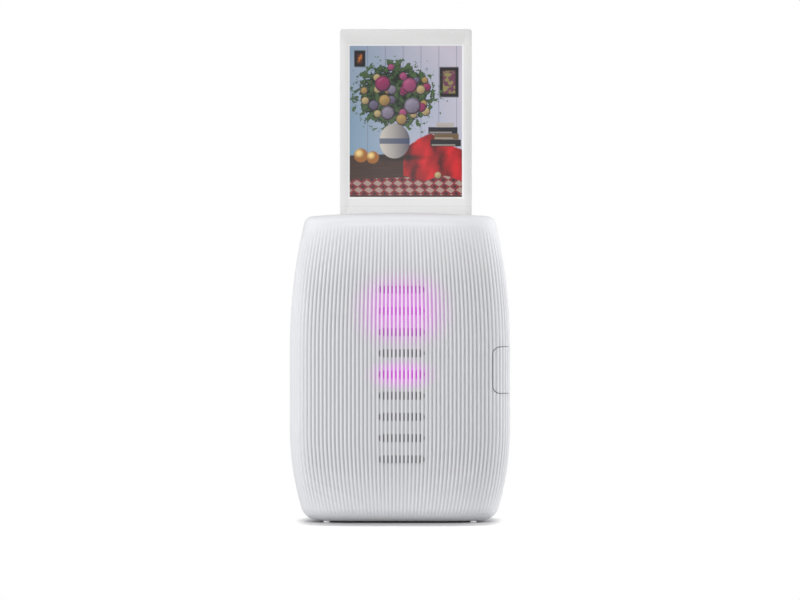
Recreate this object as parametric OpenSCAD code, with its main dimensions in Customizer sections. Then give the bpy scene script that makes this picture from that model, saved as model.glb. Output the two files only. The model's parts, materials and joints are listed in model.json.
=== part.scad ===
// Compact instant-photo printer: a barrel-shaped upright casing with a film
// door at the back, a port cover on its side and a print coming out of the top.
// X runs to the right, -Y is the front, +Z is up. The origin is the middle of
// the base, on the surface that the feet stand on. Millimetres.

/* [Casing] */
// Room between the film chamber and the casing's widest outer side
side_room = 8.1; // [7.7:0.1:12]
// Depth over front and back
body_d = 37.3; // [36.4:0.1:44]
// Height from the roller axes to the crown
crown_above_rollers = 9.5; // [9.2:0.1:11]
// Wall thickness of the shells
wall = 1.8; // [1.4:0.1:2.2]
// Height of the feet below the shell
foot_h = 0.6; // [0.4:0.1:1.2]
// Radius of the front and back edges at top and bottom
edge_r = 5.5; // [4:0.5:6.5]
// Radius of the top corners in the front view
top_corner_r = 2.5; // [2:0.5:4]
// Radius of the bottom corners in the front view
bottom_corner_r = 5; // [3:0.5:6]
// Height where the straight flank starts
flank_low = 38; // [32:1:44]
// Height of the curved upper flank
upper_flank_h = 56; // [50:1:64]
// Radius of the upper flank curve
upper_arc_r = 245; // [220:1:300]
// Radius of the lower flank curve
lower_arc_r = 112; // [95:1:140]
// Radius of the crown along the top
crown_r = 520; // [400:10:900]
// Distance of the casing seam behind the middle
seam_y = 2.5; // [2:0.1:3]

/* [Film and print] */
// Width of a print
film_w = 54; // [52:0.5:56]
// Length of a print
film_l = 86; // [82:0.5:88]
// Thickness of a print
film_t = 0.4; // [0.3:0.05:0.5]
// Middle of the film path, to the right of the casing's middle
film_x = 2.4; // [1.6:0.1:3]
// Length of the print below the rollers' nip at rest
film_below_nip = 0.9; // [0.5:0.1:1.5]
// How much wider the film pack is than a print
pack_extra_w = 12; // [11:0.5:13]
// How much longer the film pack is than a print
pack_extra_l = 8; // [6:0.5:9]
// Thickness of the film pack
pack_t = 11.5; // [11:0.1:12]
// Height of the film pack's lower end
pack_z = 10; // [9.8:0.1:10.4]

/* [Film door] */
// Margin of the film door from the casing's silhouette
door_margin = 2.2; // [2:0.1:3]
// Lower edge of the film door
door_low = 6.5; // [6.5:0.5:8]
// Upper edge of the film door, below the crown
door_below_crown = 15.5; // [15:0.5:17]
// Gap round the covers
cover_gap = 0.25; // [0.2:0.05:0.4]
// Radius of the hinge barrel
knuckle_r = 1.55; // [1.4:0.05:1.7]
// Top of the hinge barrel
knuckle_high = 75.5; // [70:0.5:80]
// Bottom of the hinge barrel
knuckle_low = 28; // [24:0.5:34]
// Radius of the hinge pins
pin_r = 0.6; // [0.5:0.05:0.7]
// Clearance between a pin and its bore
pin_fit = 0.05; // [0.03:0.01:0.09]

/* [Port cover] */
// Height of the port cover
port_h = 19.2; // [18:0.1:20]
// Upper edge of the port cover, below the crown
port_below_crown = 54.3; // [52:0.1:56]
// How far the port cover runs in from the casing's widest side
port_reach = 7.6; // [7:0.1:8]
// Corner radius of the port cover
port_corner_r = 3; // [1:0.5:3.5]

/* [Rollers and drive] */
// Radius of the spread rollers
roller_r = 3.6; // [3.4:0.05:3.7]
// Height of the roller axes above the film pack
roller_above_pack = 12.5; // [12.3:0.1:13.5]
// Gap between a roller and the print
nip_gap = 0.1; // [0.05:0.01:0.15]
// Radius of the roller shafts
shaft_r = 1.5; // [1.2:0.1:1.7]
// Gear module
gear_module = 0.6; // [0.5:0.05:0.6]
// Gear width
gear_w = 2.2; // [1.6:0.1:2.4]

/* [Electronics] */
// Thickness of the circuit boards
board_t = 1.0; // [0.8:0.1:1.6]
// Width of the battery
battery_w = 46; // [40:1:50]
// Height of the battery
battery_h = 34; // [28:1:36]
// Thickness of the battery
battery_t = 6; // [4.5:0.1:6.5]

/* [Hidden] */
$fn = 48;
// A tiny length that lets a cut run clear through a face
eps = 0.02;
// Clearance of pieces that lie beside each other, and of sliding fits
seat_gap = 0.3;
slide_gap = 0.15;

// ---- Overall size, from the film pack outwards ----
chassis_wall = 1.2;
pack_w = film_w + pack_extra_w;
pack_l = film_l + pack_extra_l;
pack_z1 = pack_z + pack_l;
chassis_x0 = film_x - pack_w / 2 - seat_gap - chassis_wall;
chassis_x1 = film_x + pack_w / 2 + seat_gap + chassis_wall;
body_w = 2 * (chassis_x1 + side_room);
roller_z = pack_z1 + roller_above_pack;
body_h = roller_z + crown_above_rollers;
door_high = body_h - door_below_crown;
port_front_x = body_w / 2 - port_reach;
port_high = body_h - port_below_crown;
port_low = port_high - port_h;
flank_high = body_h - upper_flank_h;

// ---- Barrel form of the casing ----
// Points round one section, and the power of its superellipse
ring_n = 64;
section_power = 4;
// Share of the barrel's narrowing that the depth takes
depth_share = 0.2;
// Height over which the crown fades into the flanks
crown_fade = 20;
half_w_max = body_w / 2;
half_d_max = body_d / 2;
bottom_z = foot_h;

function bow(r, d) = r - sqrt(r * r - d * d);
function flank_bow(z) =
    z > flank_high ? bow(upper_arc_r, z - flank_high) :
    z < flank_low ? bow(lower_arc_r, flank_low - z) : 0;
function half_w(z) = half_w_max - flank_bow(z);
function half_d(z) = half_d_max - depth_share * flank_bow(z);
// How far a corner of radius r draws a section in, at a distance e from the end
function corner(r, e) = e >= r ? 0 : bow(r, r - max(e, 0));
function shrunk(r, inset) = max(r - inset, 0.5);
function section_a(z, inset) =
    half_w(z) - inset
    - corner(shrunk(bottom_corner_r, inset), z - bottom_z - inset)
    - corner(shrunk(top_corner_r, inset), body_h - inset - z);
function section_b(z, inset) =
    half_d(z) - inset
    - corner(shrunk(edge_r, inset), z - bottom_z - inset)
    - corner(shrunk(edge_r, inset), body_h - inset - z);
function signed_power(v, p) = sign(v) * pow(abs(v), p);
function crown_drop(x, z, inset) =
    max(0, min(1, (z - body_h + inset + crown_fade) / crown_fade)) * x * x / (2 * crown_r);
// One point of the section at height z, for the turn t; s shrinks the section for a cap
function barrel_point(z, inset, t, s = 1) =
    let (x = s * section_a(z, inset) * signed_power(cos(t), 2 / section_power))
    let (y = s * section_b(z, inset) * signed_power(sin(t), 2 / section_power))
    [x, y, z - crown_drop(x, z, inset)];
// Outer surface's distance from the middle plane, at x or at y
function surface_y(x, z, inset = 0) =
    section_b(z, inset)
        * pow(1 - pow(min(abs(x) / section_a(z, inset), 1), section_power), 1 / section_power);
function surface_x(y, z, inset = 0) =
    section_a(z, inset)
        * pow(1 - pow(min(abs(y) / section_b(z, inset), 1), section_power), 1 / section_power);

low_steps = 6;
flank_steps = 10;
high_steps = 5;
cap_scales = [0.66, 0.33];
function barrel_levels(inset) =
    let (lo = bottom_z + inset, hi = body_h - inset)
    let (lo_r = shrunk(max(bottom_corner_r, edge_r), inset), hi_r = shrunk(max(top_corner_r, edge_r), inset))
    concat(
        [for (k = [0 : low_steps - 1]) lo + lo_r * (1 - cos(90 * k / low_steps))],
        [for (k = [0 : flank_steps]) lo + lo_r + (hi - hi_r - lo - lo_r) * k / flank_steps],
        [for (k = [high_steps - 1 : -1 : 0]) hi - hi_r * (1 - cos(90 * k / high_steps))]
    );

// The casing's form, drawn in by inset
module barrel(inset = 0) {
    levels = barrel_levels(inset);
    turns = [for (j = [0 : ring_n - 1]) 360 * j / ring_n];
    rings = concat(
        [for (z = levels) [for (t = turns) barrel_point(z, inset, t)]],
        [for (s = cap_scales) [for (t = turns) barrel_point(body_h - inset, inset, t, s)]]
    );
    ring_count = len(rings);
    points = concat([for (r = rings) each r], [[0, 0, bottom_z + inset], [0, 0, body_h - inset]]);
    low_tip = ring_count * ring_n;
    high_tip = low_tip + 1;
    last = (ring_count - 1) * ring_n;
    faces = concat(
        [for (i = [0 : ring_count - 2], j = [0 : ring_n - 1])
            let (a = i * ring_n + j, b = i * ring_n + (j + 1) % ring_n)
            each [[a, a + ring_n, b + ring_n], [a, b + ring_n, b]]],
        [for (j = [0 : ring_n - 1]) [low_tip, j, (j + 1) % ring_n]],
        [for (j = [0 : ring_n - 1]) [high_tip, last + (j + 1) % ring_n, last + j]]
    );
    polyhedron(points, faces, convexity = 6);
}

// ---- Helpers ----
far = 200;
module prism_y(y0, y1) {
    translate([0, y1, 0]) rotate([90, 0, 0]) linear_extrude(y1 - y0) children();
}
module box(x0, x1, y0, y1, z0, z1) {
    translate([x0, y0, z0]) cube([x1 - x0, y1 - y0, z1 - z0]);
}
module rod_x(x0, x1, y, z, r) {
    translate([x0, y, z]) rotate([0, 90, 0]) cylinder(h = x1 - x0, r = r);
}
module rod_y(y0, y1, x, z, r) {
    translate([x, y0, z]) rotate([-90, 0, 0]) cylinder(h = y1 - y0, r = r);
}
module rod_z(z0, z1, x, y, r) {
    translate([x, y, z0]) cylinder(h = z1 - z0, r = r);
}
// A flat bar with round ends, w long and h high, in the XY plane
module capsule(w, h) {
    square([w - h, h], center = true);
    for (side = [-1, 1]) translate([side * (w - h) / 2, 0]) circle(h / 2);
}
module rounded_rect(x0, x1, y0, y1, r) {
    square_x = [x0 + r, x1 - r];
    translate([x0 + r, y0]) square([x1 - x0 - 2 * r, y1 - y0]);
    translate([x0, y0 + r]) square([x1 - x0, y1 - y0 - 2 * r]);
    for (x = square_x, y = [y0 + r, y1 - r]) translate([x, y]) circle(r);
}
// A coil of round wire about Z, from z = 0 up to length
wire_sides = 6;
coil_steps = 12;
module coil(r, wire_r, turns, length) {
    steps = turns * coil_steps;
    rings = [for (i = [0 : steps]) [for (k = [0 : wire_sides - 1])
        let (t = 360 * i / coil_steps, c = 360 * k / wire_sides)
        let (out = r + wire_r * cos(c), up = wire_r + (length - 2 * wire_r) * i / steps + wire_r * sin(c))
        [out * cos(t), out * sin(t), up]]];
    points = [for (ring = rings) each ring];
    last = steps * wire_sides;
    faces = concat(
        [for (i = [0 : steps - 1], k = [0 : wire_sides - 1])
            let (a = i * wire_sides + k, b = i * wire_sides + (k + 1) % wire_sides)
            each [[a, b, a + wire_sides], [b, b + wire_sides, a + wire_sides]]],
        [[for (k = [wire_sides - 1 : -1 : 0]) k]],
        [[for (k = [0 : wire_sides - 1]) last + k]]
    );
    polyhedron(points, faces, convexity = 8);
}
// The wall between the outer form and the form drawn in by the wall
module skin() {
    difference() {
        barrel(0);
        barrel(wall);
    }
}

// ---- Places that several pieces share ----
film_low_z = roller_z - film_below_nip;
film_y = seam_y;
slot_w = film_w + 1.6;
slot_t = 1.6;
slot_depth = 5;
door_corner_r = 4;
door_steps = 12;
door_front_y = half_d_max * 0.27;
hinge_x = -half_w_max + knuckle_r;
hinge_y = surface_y(half_w_max - door_margin, (knuckle_low + knuckle_high) / 2) - 0.4;
knuckle_count = 5;
knuckle_l = (knuckle_high - knuckle_low) / knuckle_count;
knuckle_space = 0.2;
port_knuckle_r = 0.6 * wall;
port_pin_r = 0.4;
port_pin_end = 1.5;
port_hinge_x = half_w_max - port_knuckle_r;
port_hinge_y = seam_y - seat_gap - port_knuckle_r;

// Outline of the film door in the front view; gap draws it in
module door_outline(gap = 0) {
    zs = [for (k = [0 : door_steps]) door_low + gap + (1 - cos(180 * k / door_steps)) / 2
        * (door_high - door_low - 2 * gap)];
    side = [for (z = zs) [section_a(z, door_margin + gap) - corner(door_corner_r, z - door_low - gap)
        - corner(door_corner_r, door_high - gap - z), z]];
    polygon(concat(side, [for (k = [door_steps : -1 : 0]) [-side[k][0], side[k][1]]]));
}
module door_prism(gap = 0) {
    prism_y(door_front_y, far) door_outline(gap);
}
// Barrels of the door hinge: even ones on the shell, odd ones on the door
module knuckles(first, r, extra = 0) {
    for (k = [first : 2 : knuckle_count - 1])
        rod_z(knuckle_low + k * knuckle_l + knuckle_space / 2 - extra,
            knuckle_low + (k + 1) * knuckle_l - knuckle_space / 2 + extra, hinge_x, hinge_y, r);
}
// Opening of the port cover, seen from the front
module port_outline(gap = 0) {
    rounded_rect(port_front_x + gap, far, port_low + gap, port_high - gap, port_corner_r);
}

// Screws that join the shells: [side, height]
boss_r = 2.0;
screw_r = 0.9;
screw_head_r = 1.6;
screw_head_h = 1.2;
shell_boss_l = 8;
lug_l = 3;
shell_screw_spots = [[-1, 18], [1, 18], [-1, port_high + 4.8], [1, port_high + 4.8]];
function shell_screw_x(spot) =
    spot[0] * max(section_a(spot[1], wall) - boss_r - seat_gap, chassis_x1 + seat_gap + boss_r);
// Boss or lug of a shell screw with its web to the side wall
module screw_boss(y0, y1, spot) {
    x = shell_screw_x(spot);
    x_wall = x + spot[0] * (boss_r + 1);
    rod_y(y0, y1, x, spot[1], boss_r);
    box(min(x, x_wall), max(x, x_wall), y0, y1, spot[1] - boss_r / 2, spot[1] + boss_r / 2);
}

// Film chamber
pack_x0 = film_x - pack_w / 2;
pack_x1 = film_x + pack_w / 2;
pack_wall = 0.8;
pack_bevel = 1.2;
pack_y0 = film_y - film_t / 2 - seat_gap - pack_wall;
pack_y1 = pack_y0 + pack_t;
plate_t = 1.4;
chamber_depth = 8.5;
plate_y1 = pack_y0 - seat_gap;
plate_y0 = plate_y1 - plate_t;
chamber_y1 = plate_y1 + chamber_depth;
// Screws that hold the chassis to the front shell: [x, height]
tab_boss_r = 2;
tab_reach = 3;
right_tab_reach = 2.3;
high_tab_drop = 6;
chassis_screw_l = 5.5;
chassis_screw_spots = [
    [chassis_x0 - tab_reach, 22],
    [chassis_x0 - tab_reach, 62],
    [chassis_x1 + right_tab_reach, 32],
    [chassis_x1 + right_tab_reach, pack_z1 - high_tab_drop]
];

// Bay behind the port cover
bay_wall = 1.2;
bay_depth = 1.2;
bay_x0 = port_front_x + bay_depth;
bay_x1 = bay_x0 + bay_wall;
bay_y0 = seam_y - 15.5;
usb_w = 9;
usb_t = 3.2;
usb_l = 7.4;
usb_fit = 0.3;
usb_z = port_low + 7.5;
board_space = 6;
board_y1 = plate_y0 - board_space;
board_y0 = board_y1 - board_t;
usb_y = board_y0 - usb_t / 2;
reset_z = usb_z + 8;
reset_r = 1.1;

// Side buttons
button_r = 2.1;
button_y = seam_y + 2.8;
button_pitch = 11;
power_z = pack_z1 - high_tab_drop;
function_z = power_z - button_pitch;
button_travel = 0.5;
button_flange = 0.6;
switch_l = 1.4;
button_board_end = 6;

// Feet
foot_xs = [-29.9, 29.9];
foot_y = 8;
foot_r = 1.2;
foot_sink = 0.5;

// Door latch, pack window and seal
latch_travel = 1.0;
latch_reach = 0.6;
latch_z = 60;
latch_w = 5;
latch_t = 1.4;
latch_y = 9;
latch_post_w = 2;
latch_x1 = half_w(latch_z) - door_margin + latch_reach;
latch_x0 = chassis_x1 + latch_travel + 1.1;
window_w = 5;
window_h = 24;
window_z = 66;
seal_t = 0.8;
seal_w = 1;
seal_margin = 0.8;

// Front light
light_x = 0.6;
bar_w = 18.8;
bar_h = 3.2;
bar_count = 9;
bar_low = 26;
bar_pitch = 8.6;
light_fit = 0.1;
function bar_z(k) = bar_low + k * bar_pitch;

// Shelves, back plate and front wall behind the port cover
module port_bay() {
    difference() {
        union() {
            intersection() {
                barrel(wall - 0.4);
                for (z = [port_low - bay_wall, port_high])
                    box(bay_x0, far, bay_y0, seam_y, z, z + bay_wall);
            }
            intersection() {
                barrel(wall + seat_gap);
                difference() {
                    box(bay_x0, far, bay_y0, seam_y, port_low - eps, port_high + eps);
                    box(bay_x1, far, bay_y0 + bay_wall, far, -far, far);
                }
            }
        }
        translate([0, usb_y, usb_z]) rotate([90, 0, 90]) linear_extrude(far)
            rotate(90) capsule(usb_w + 2 * usb_fit, usb_t + 2 * usb_fit);
        rod_x(0, far, usb_y, reset_z, reset_r + slide_gap);
    }
}

module front_shell() {
    color("gainsboro") difference() {
        union() {
            difference() {
                skin();
                box(-far, far, seam_y, far, -far, far);
                prism_y(-far, far) port_outline();
            }
            for (spot = shell_screw_spots)
                screw_boss(seam_y - shell_boss_l, seam_y, spot);
            for (spot = chassis_screw_spots)
                rod_y(-surface_y(spot[0], spot[1], wall) - 0.4, plate_y0, spot[0], spot[1], tab_boss_r);
            port_bay();
        }
        box(film_x - slot_w / 2, film_x + slot_w / 2, film_y - slot_t / 2, far, body_h - slot_depth, far);
        for (spot = shell_screw_spots)
            rod_y(seam_y - shell_boss_l + 1, seam_y + eps, shell_screw_x(spot), spot[1], screw_r);
        for (spot = chassis_screw_spots)
            rod_y(plate_y0 - chassis_screw_l - 0.5, plate_y0 + eps, spot[0], spot[1], screw_r);
        rod_z(port_low - port_pin_end, port_high + port_pin_end, port_hinge_x, port_hinge_y, port_pin_r);
        for (k = [0 : bar_count - 1])
            translate([light_x, 0, bar_z(k)]) prism_y(-far, -half_d_max / 2) capsule(bar_w, bar_h);
        for (x = foot_xs) rod_z(-far, foot_h + foot_sink, x, -foot_y, foot_r);
    }
}

module rear_shell() {
    color("gainsboro") difference() {
        union() {
            difference() {
                skin();
                box(-far, far, -far, seam_y, -far, far);
                door_prism();
                knuckles(1, knuckle_r + cover_gap, cover_gap);
            }
            knuckles(0, knuckle_r);
            for (spot = shell_screw_spots)
                screw_boss(seam_y, seam_y + lug_l, spot);
        }
        box(film_x - slot_w / 2, film_x + slot_w / 2, -far, film_y + slot_t / 2, body_h - slot_depth, far);
        for (spot = shell_screw_spots)
            rod_y(seam_y - eps, far, shell_screw_x(spot), spot[1], screw_r + 0.1);
        knuckle_bore(pin_r);
        for (z = [power_z, function_z]) rod_x(0, far, button_y, z, button_r + slide_gap);
        latch_space(slide_gap + 0.05, slide_gap);
        for (x = foot_xs) rod_z(-far, foot_h + foot_sink, x, foot_y, foot_r);
    }
}
module knuckle_bore(r) {
    rod_z(knuckle_low - eps, knuckle_high + eps, hinge_x, hinge_y, r);
}

module film_door() {
    color("gainsboro") difference() {
        union() {
            difference() {
                intersection() {
                    skin();
                    door_prism(cover_gap);
                }
                knuckles(0, knuckle_r + cover_gap, cover_gap);
            }
            knuckles(1, knuckle_r);
            for (k = [1 : 2 : knuckle_count - 1])
                box(hinge_x, hinge_x + knuckle_r + 0.4, hinge_y - 1.3, hinge_y + 0.3,
                    knuckle_low + k * knuckle_l + knuckle_space / 2,
                    knuckle_low + (k + 1) * knuckle_l - knuckle_space / 2);
        }
        knuckle_bore(pin_r + pin_fit);
        latch_space(slide_gap, latch_travel + slide_gap);
        translate([film_x, 0, window_z]) prism_y(0, far) rotate(90) capsule(window_h, window_w);
    }
}
module door_hinge_pin() {
    color("silver") rod_z(knuckle_low + 0.2, knuckle_high - 0.2, hinge_x, hinge_y, pin_r);
}
// Foam strip round the inside of the door's edge
module door_seal() {
    color("dimgray") difference() {
        intersection() {
            difference() {
                barrel(wall);
                barrel(wall + seal_t);
            }
            door_prism(cover_gap + seal_margin);
        }
        prism_y(0, far) door_outline(cover_gap + seal_margin + seal_w);
        latch_space(slide_gap, latch_travel + slide_gap);
    }
}
module pack_window() {
    color("lightyellow") intersection() {
        translate([film_x, 0, window_z]) prism_y(0, far)
            rotate(90) capsule(window_h - 2 * light_fit, window_w - 2 * light_fit);
        difference() {
            barrel(0.2);
            barrel(wall + 0.1);
        }
    }
}
// Two pads on the door that hold the film pack forward
pad_w = 8;
pad_h = 30;
pad_xs = [-17, 17];
pad_z = 42;
module pressure_pads() {
    color("dimgray") for (x = pad_xs)
        box(film_x + x - pad_w / 2, film_x + x + pad_w / 2, pack_y1 + seat_gap,
            surface_y(abs(film_x) + abs(x) + pad_w / 2, pad_z, wall) - eps, pad_z, pad_z + pad_h);
}
// Space of the latch slider: its guide slots, wider by fit, longer by travel towards the middle
module latch_space(fit, travel) {
    box(latch_x0 - travel, latch_x1 + fit, latch_y - fit, latch_y + latch_t + fit,
        latch_z - latch_w / 2 - fit, latch_z + latch_w / 2 + fit);
    if (travel > latch_travel)
        box(latch_x0 - travel, latch_x0 + latch_post_w + fit, latch_y, far,
            latch_z - latch_w / 2 - fit, latch_z + latch_w / 2 + fit);
}
module door_latch() {
    color("lightgray") {
        box(latch_x0, latch_x1, latch_y, latch_y + latch_t, latch_z - latch_w / 2, latch_z + latch_w / 2);
        box(latch_x0, latch_x0 + latch_post_w, latch_y + latch_t,
            surface_y(latch_x0 + latch_post_w, latch_z) - 0.2, latch_z - latch_w / 2, latch_z + latch_w / 2);
    }
}
module latch_spring() {
    color("silver") translate([latch_x0 - latch_travel - 0.1, latch_y + latch_t / 2, latch_z])
        rotate([0, 90, 0]) coil(0.5, 0.12, 3, latch_travel + 0.1);
}
module port_cover() {
    color("gainsboro") difference() {
        union() {
            intersection() {
                skin();
                prism_y(-far, port_hinge_y) port_outline(cover_gap);
            }
            rod_z(port_low + cover_gap, port_high - cover_gap, port_hinge_x, port_hinge_y, port_knuckle_r);
        }
        rod_z(0, far, port_hinge_x, port_hinge_y, port_pin_r + pin_fit);
    }
}
module port_cover_pin() {
    color("silver")
        rod_z(port_low - port_pin_end, port_high + port_pin_end, port_hinge_x, port_hinge_y, port_pin_r);
}
module feet() {
    color("dimgray") for (x = foot_xs, y = [-foot_y, foot_y])
        rod_z(0, foot_h + foot_sink, x, y, foot_r);
}
module shell_screws() {
    color("silver") for (spot = shell_screw_spots) {
        x = shell_screw_x(spot);
        difference() {
            rod_y(seam_y + lug_l, seam_y + lug_l + screw_head_h, x, spot[1], screw_head_r);
            cross_recess(x, seam_y + lug_l + screw_head_h, spot[1]);
        }
        rod_y(seam_y - shell_boss_l + 1.5, seam_y + lug_l + eps, x, spot[1], screw_r);
    }
}
// Cross recess in a screw head whose face lies at y
module cross_recess(x, y, z) {
    for (turn = [0, 90]) translate([x, y, z]) rotate([0, turn, 0]) cube([2.0, 1.0, 0.5], center = true);
}

// ---- Buttons ----
side_board_x = chassis_x1;
switch_x0 = side_board_x + board_t;
button_x0 = switch_x0 + switch_l + button_travel;
module side_button(z) {
    rod_x(button_x0 + 0.1, surface_x(button_y + button_r, z) - 0.1, button_y, z, button_r);
    rod_x(button_x0 + 0.1, button_x0 + 0.1 + button_flange, button_y, z, button_r + 0.4);
}
module power_button() {
    color("whitesmoke") side_button(power_z);
}
module function_button() {
    color("whitesmoke") side_button(function_z);
}
module button_board() {
    color("darkgreen") box(side_board_x, switch_x0, plate_y1 + screw_head_h + seat_gap, chamber_y1,
        function_z - button_board_end, power_z + button_board_end);
}
// Tact switch with its plunger, facing +X, its seat at x
module tact_switch(x, y, z) {
    box(x, x + 0.9, y - 1.5, y + 1.5, z - 1.5, z + 1.5);
    rod_x(x + 0.9, x + switch_l, y, z, 0.8);
}
module button_switches() {
    color("dimgray") for (z = [power_z, function_z]) tact_switch(switch_x0, button_y, z);
}
reset_x0 = bay_x0 - 1.6;
module reset_button() {
    color("whitesmoke") {
        rod_x(reset_x0, bay_x1 + 0.2, usb_y, reset_z, reset_r);
        rod_x(reset_x0, reset_x0 + button_flange, usb_y, reset_z, reset_r + 0.6);
    }
}
module reset_switch() {
    color("dimgray") tact_switch(reset_x0 - button_travel - 0.1 - switch_l, usb_y, reset_z);
}

// ---- Front light ----
light_y1 = -surface_y(light_x + bar_w / 2, bar_low + bar_count * bar_pitch, wall) + 1.6;
light_y0 = light_y1 - 1.4;
light_margin = 2;
module light_guide() {
    color("white") {
        box(light_x - bar_w / 2 - light_margin, light_x + bar_w / 2 + light_margin, light_y0, light_y1,
            bar_z(0) - bar_h, bar_z(bar_count - 1) + bar_h);
        for (k = [0 : bar_count - 1])
            translate([light_x, 0, bar_z(k)])
                prism_y(-surface_y(light_x + bar_w / 2, bar_z(k) + bar_h / 2) + 0.1, light_y0 + eps)
                    capsule(bar_w - 2 * light_fit, bar_h - 2 * light_fit);
    }
}
led_t = 0.6;
led_board_t = 0.8;
led_y0 = light_y1 + 0.1;
led_board_y1 = led_y0 + led_t + led_board_t;
battery_space = 0.8;
led_w = 3.2;
led_h = 1.6;
led_board_w = 14;
module leds() {
    color("white") for (k = [0 : bar_count - 1])
        box(light_x - led_w / 2, light_x + led_w / 2, led_y0, led_y0 + led_t,
            bar_z(k) - led_h / 2, bar_z(k) + led_h / 2);
}
module led_board() {
    color("darkgreen") box(light_x - led_board_w / 2, light_x + led_board_w / 2, led_y0 + led_t, led_board_y1,
        bar_z(0) - bar_h, bar_z(bar_count - 1) + bar_h);
}

// ---- Film chamber and chassis ----
roller_dy = roller_r + film_t / 2 + nip_gap;
drive_y = film_y - roller_dy;
pinch_y = film_y + roller_dy;
roller_x0 = film_x - film_w / 2 - 0.3;
roller_x1 = film_x + film_w / 2 + 0.3;
bracket_t = 1.2;
right_bracket_x = roller_x1 + 2;
bush_r = 2.5;
bush_collar = 0.4;
bush_lip = 0.4;
pinch_spring_r = 0.7;
pinch_wire_r = 0.15;
pinch_spring_l = 2.8;
pinch_spring_y = film_y + roller_dy + bush_r + bush_lip + 0.05;
pinch_spring_off = pinch_spring_r + pinch_wire_r + 0.1;
pinch_spring_y1 = pinch_spring_y + pinch_spring_l;
spring_tab_t = 0.8;
spring_tab_l = 2;
spring_tab_h = 3;
bracket_high = roller_z + 4;
bracket_edge = 3.2;
bracket_lip = 0.4;
head_y0 = drive_y - 4;
head_clearance = 1.2;
head_z0 = pack_z1 + 1.5;
head_z1 = roller_z - roller_r - 1.4;
window_x0 = film_x - film_w / 2 + 3;
window_x1 = film_x + film_w / 2 - 3;
claw_x = film_x - film_w / 2 + 1.5;
claw_w = 3;
claw_low = pack_z + 4;
claw_l = 26;
claw_travel = 8;
claw_shoe_w = 7;
claw_shoe_t = 2.4;
claw_lug_reach = 2.8;
claw_lug_t = 1;
claw_shoe = 4;
claw_shoe_z1 = claw_low + claw_l - claw_shoe;
claw_spring_r = 0.75;
claw_wire_r = 0.15;
claw_spring_l = claw_shoe + claw_travel + seat_gap;
chassis_low = pack_z - seat_gap - chassis_wall;
chassis_high = pack_z1 + 1;
module chassis() {
    color("dimgray") difference() {
        union() {
            box(chassis_x0, chassis_x1, plate_y0, plate_y1, chassis_low, chassis_high);
            box(chassis_x0, chassis_x0 + chassis_wall, plate_y0, chamber_y1, chassis_low, chassis_high);
            box(chassis_x1 - chassis_wall, chassis_x1, plate_y0, chamber_y1, chassis_low, chassis_high);
            box(chassis_x0, chassis_x1, plate_y0, chamber_y1, chassis_low, pack_z - seat_gap);
            box(chassis_x0, chassis_x0 + bracket_t, motor_y - motor_r, pinch_y + bracket_edge,
                motor_z - motor_r, bracket_high);
            box(right_bracket_x, right_bracket_x + bracket_t, head_y0 - bracket_lip, pinch_y + bracket_edge,
                chassis_high - eps, bracket_high);
            box(claw_x - claw_shoe_w / 2, claw_x + claw_shoe_w / 2, plate_y0 - claw_lug_reach, plate_y0 + eps,
                claw_shoe_z1 + claw_spring_l, claw_shoe_z1 + claw_spring_l + claw_lug_t);
            for (x = [chassis_x0, right_bracket_x - spring_tab_l])
                box(x, x + spring_tab_l + bracket_t, pinch_spring_y1, pinch_spring_y1 + spring_tab_t,
                    roller_z - spring_tab_h / 2, roller_z + spring_tab_h / 2);
            for (x = [chassis_x0, right_bracket_x])
                box(x, x + bracket_t, pinch_y, pinch_spring_y1 + eps,
                    roller_z - spring_tab_h / 2, roller_z + spring_tab_h / 2);
            box(right_bracket_x, chassis_x1, plate_y0, chamber_y1, pack_z1, chassis_high);
            for (spot = chassis_screw_spots)
                rod_y(plate_y0, plate_y1, spot[0], spot[1], tab_boss_r);
            for (spot = chassis_screw_spots)
                box(min(spot[0], chassis_x1 - 1), max(spot[0], chassis_x0 + 1), plate_y0, plate_y1,
                    spot[1] - tab_boss_r, spot[1] + tab_boss_r);
        }
        box(window_x0, window_x1, -far, plate_y1 + eps, pack_z + 34, pack_z1 - 10);
        box(claw_x - claw_w / 2 - slide_gap, claw_x + claw_w / 2 + slide_gap, -far, plate_y1 + eps,
            claw_low - slide_gap, claw_low + claw_l + claw_travel + slide_gap);
        for (y = [drive_y, pinch_y]) rod_x(-far, far, y, roller_z, bush_r);
        for (spot = chassis_screw_spots) rod_y(-far, far, spot[0], spot[1], screw_r);
        for (pin = gear_pin_spots) rod_x(-far, 0, pin[0], pin[1], gear_pin_r);
        rod_x(-far, 0, motor_y, motor_z, motor_shaft_r + 1);
    }
}
module chassis_screws() {
    color("silver") for (spot = chassis_screw_spots) {
        difference() {
            rod_y(plate_y1, plate_y1 + screw_head_h, spot[0], spot[1], screw_head_r);
            cross_recess(spot[0], plate_y1 + screw_head_h, spot[1]);
        }
        rod_y(plate_y0 - chassis_screw_l, plate_y1 + eps, spot[0], spot[1], screw_r);
    }
}
module print_head() {
    color("black") difference() {
        box(chassis_x0 + bracket_t, right_bracket_x, head_y0, film_y - head_clearance, head_z0, head_z1);
        box(film_x - film_w / 2 - 0.5, film_x + film_w / 2 + 0.5, film_y - 2.7, far, lens_z - 1, lens_z + 1);
    }
}
lens_z = (head_z0 + head_z1) / 2;
module lens_array() {
    color("lightblue") box(film_x - film_w / 2 - 0.5, film_x + film_w / 2 + 0.5, film_y - 2.7, film_y - 0.6,
        lens_z - 1, lens_z + 1);
}
// Ribbon cable from the exposure head down to the main board
ribbon_w = 16;
ribbon_t = 0.2;
module head_ribbon() {
    color("peru")
        box(ribbon_x, ribbon_x + ribbon_w, head_y0 - ribbon_t, head_y0, main_z1 - 4, head_z1 - 1);
}
ribbon_x = right_bracket_x - 23.7;

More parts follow.
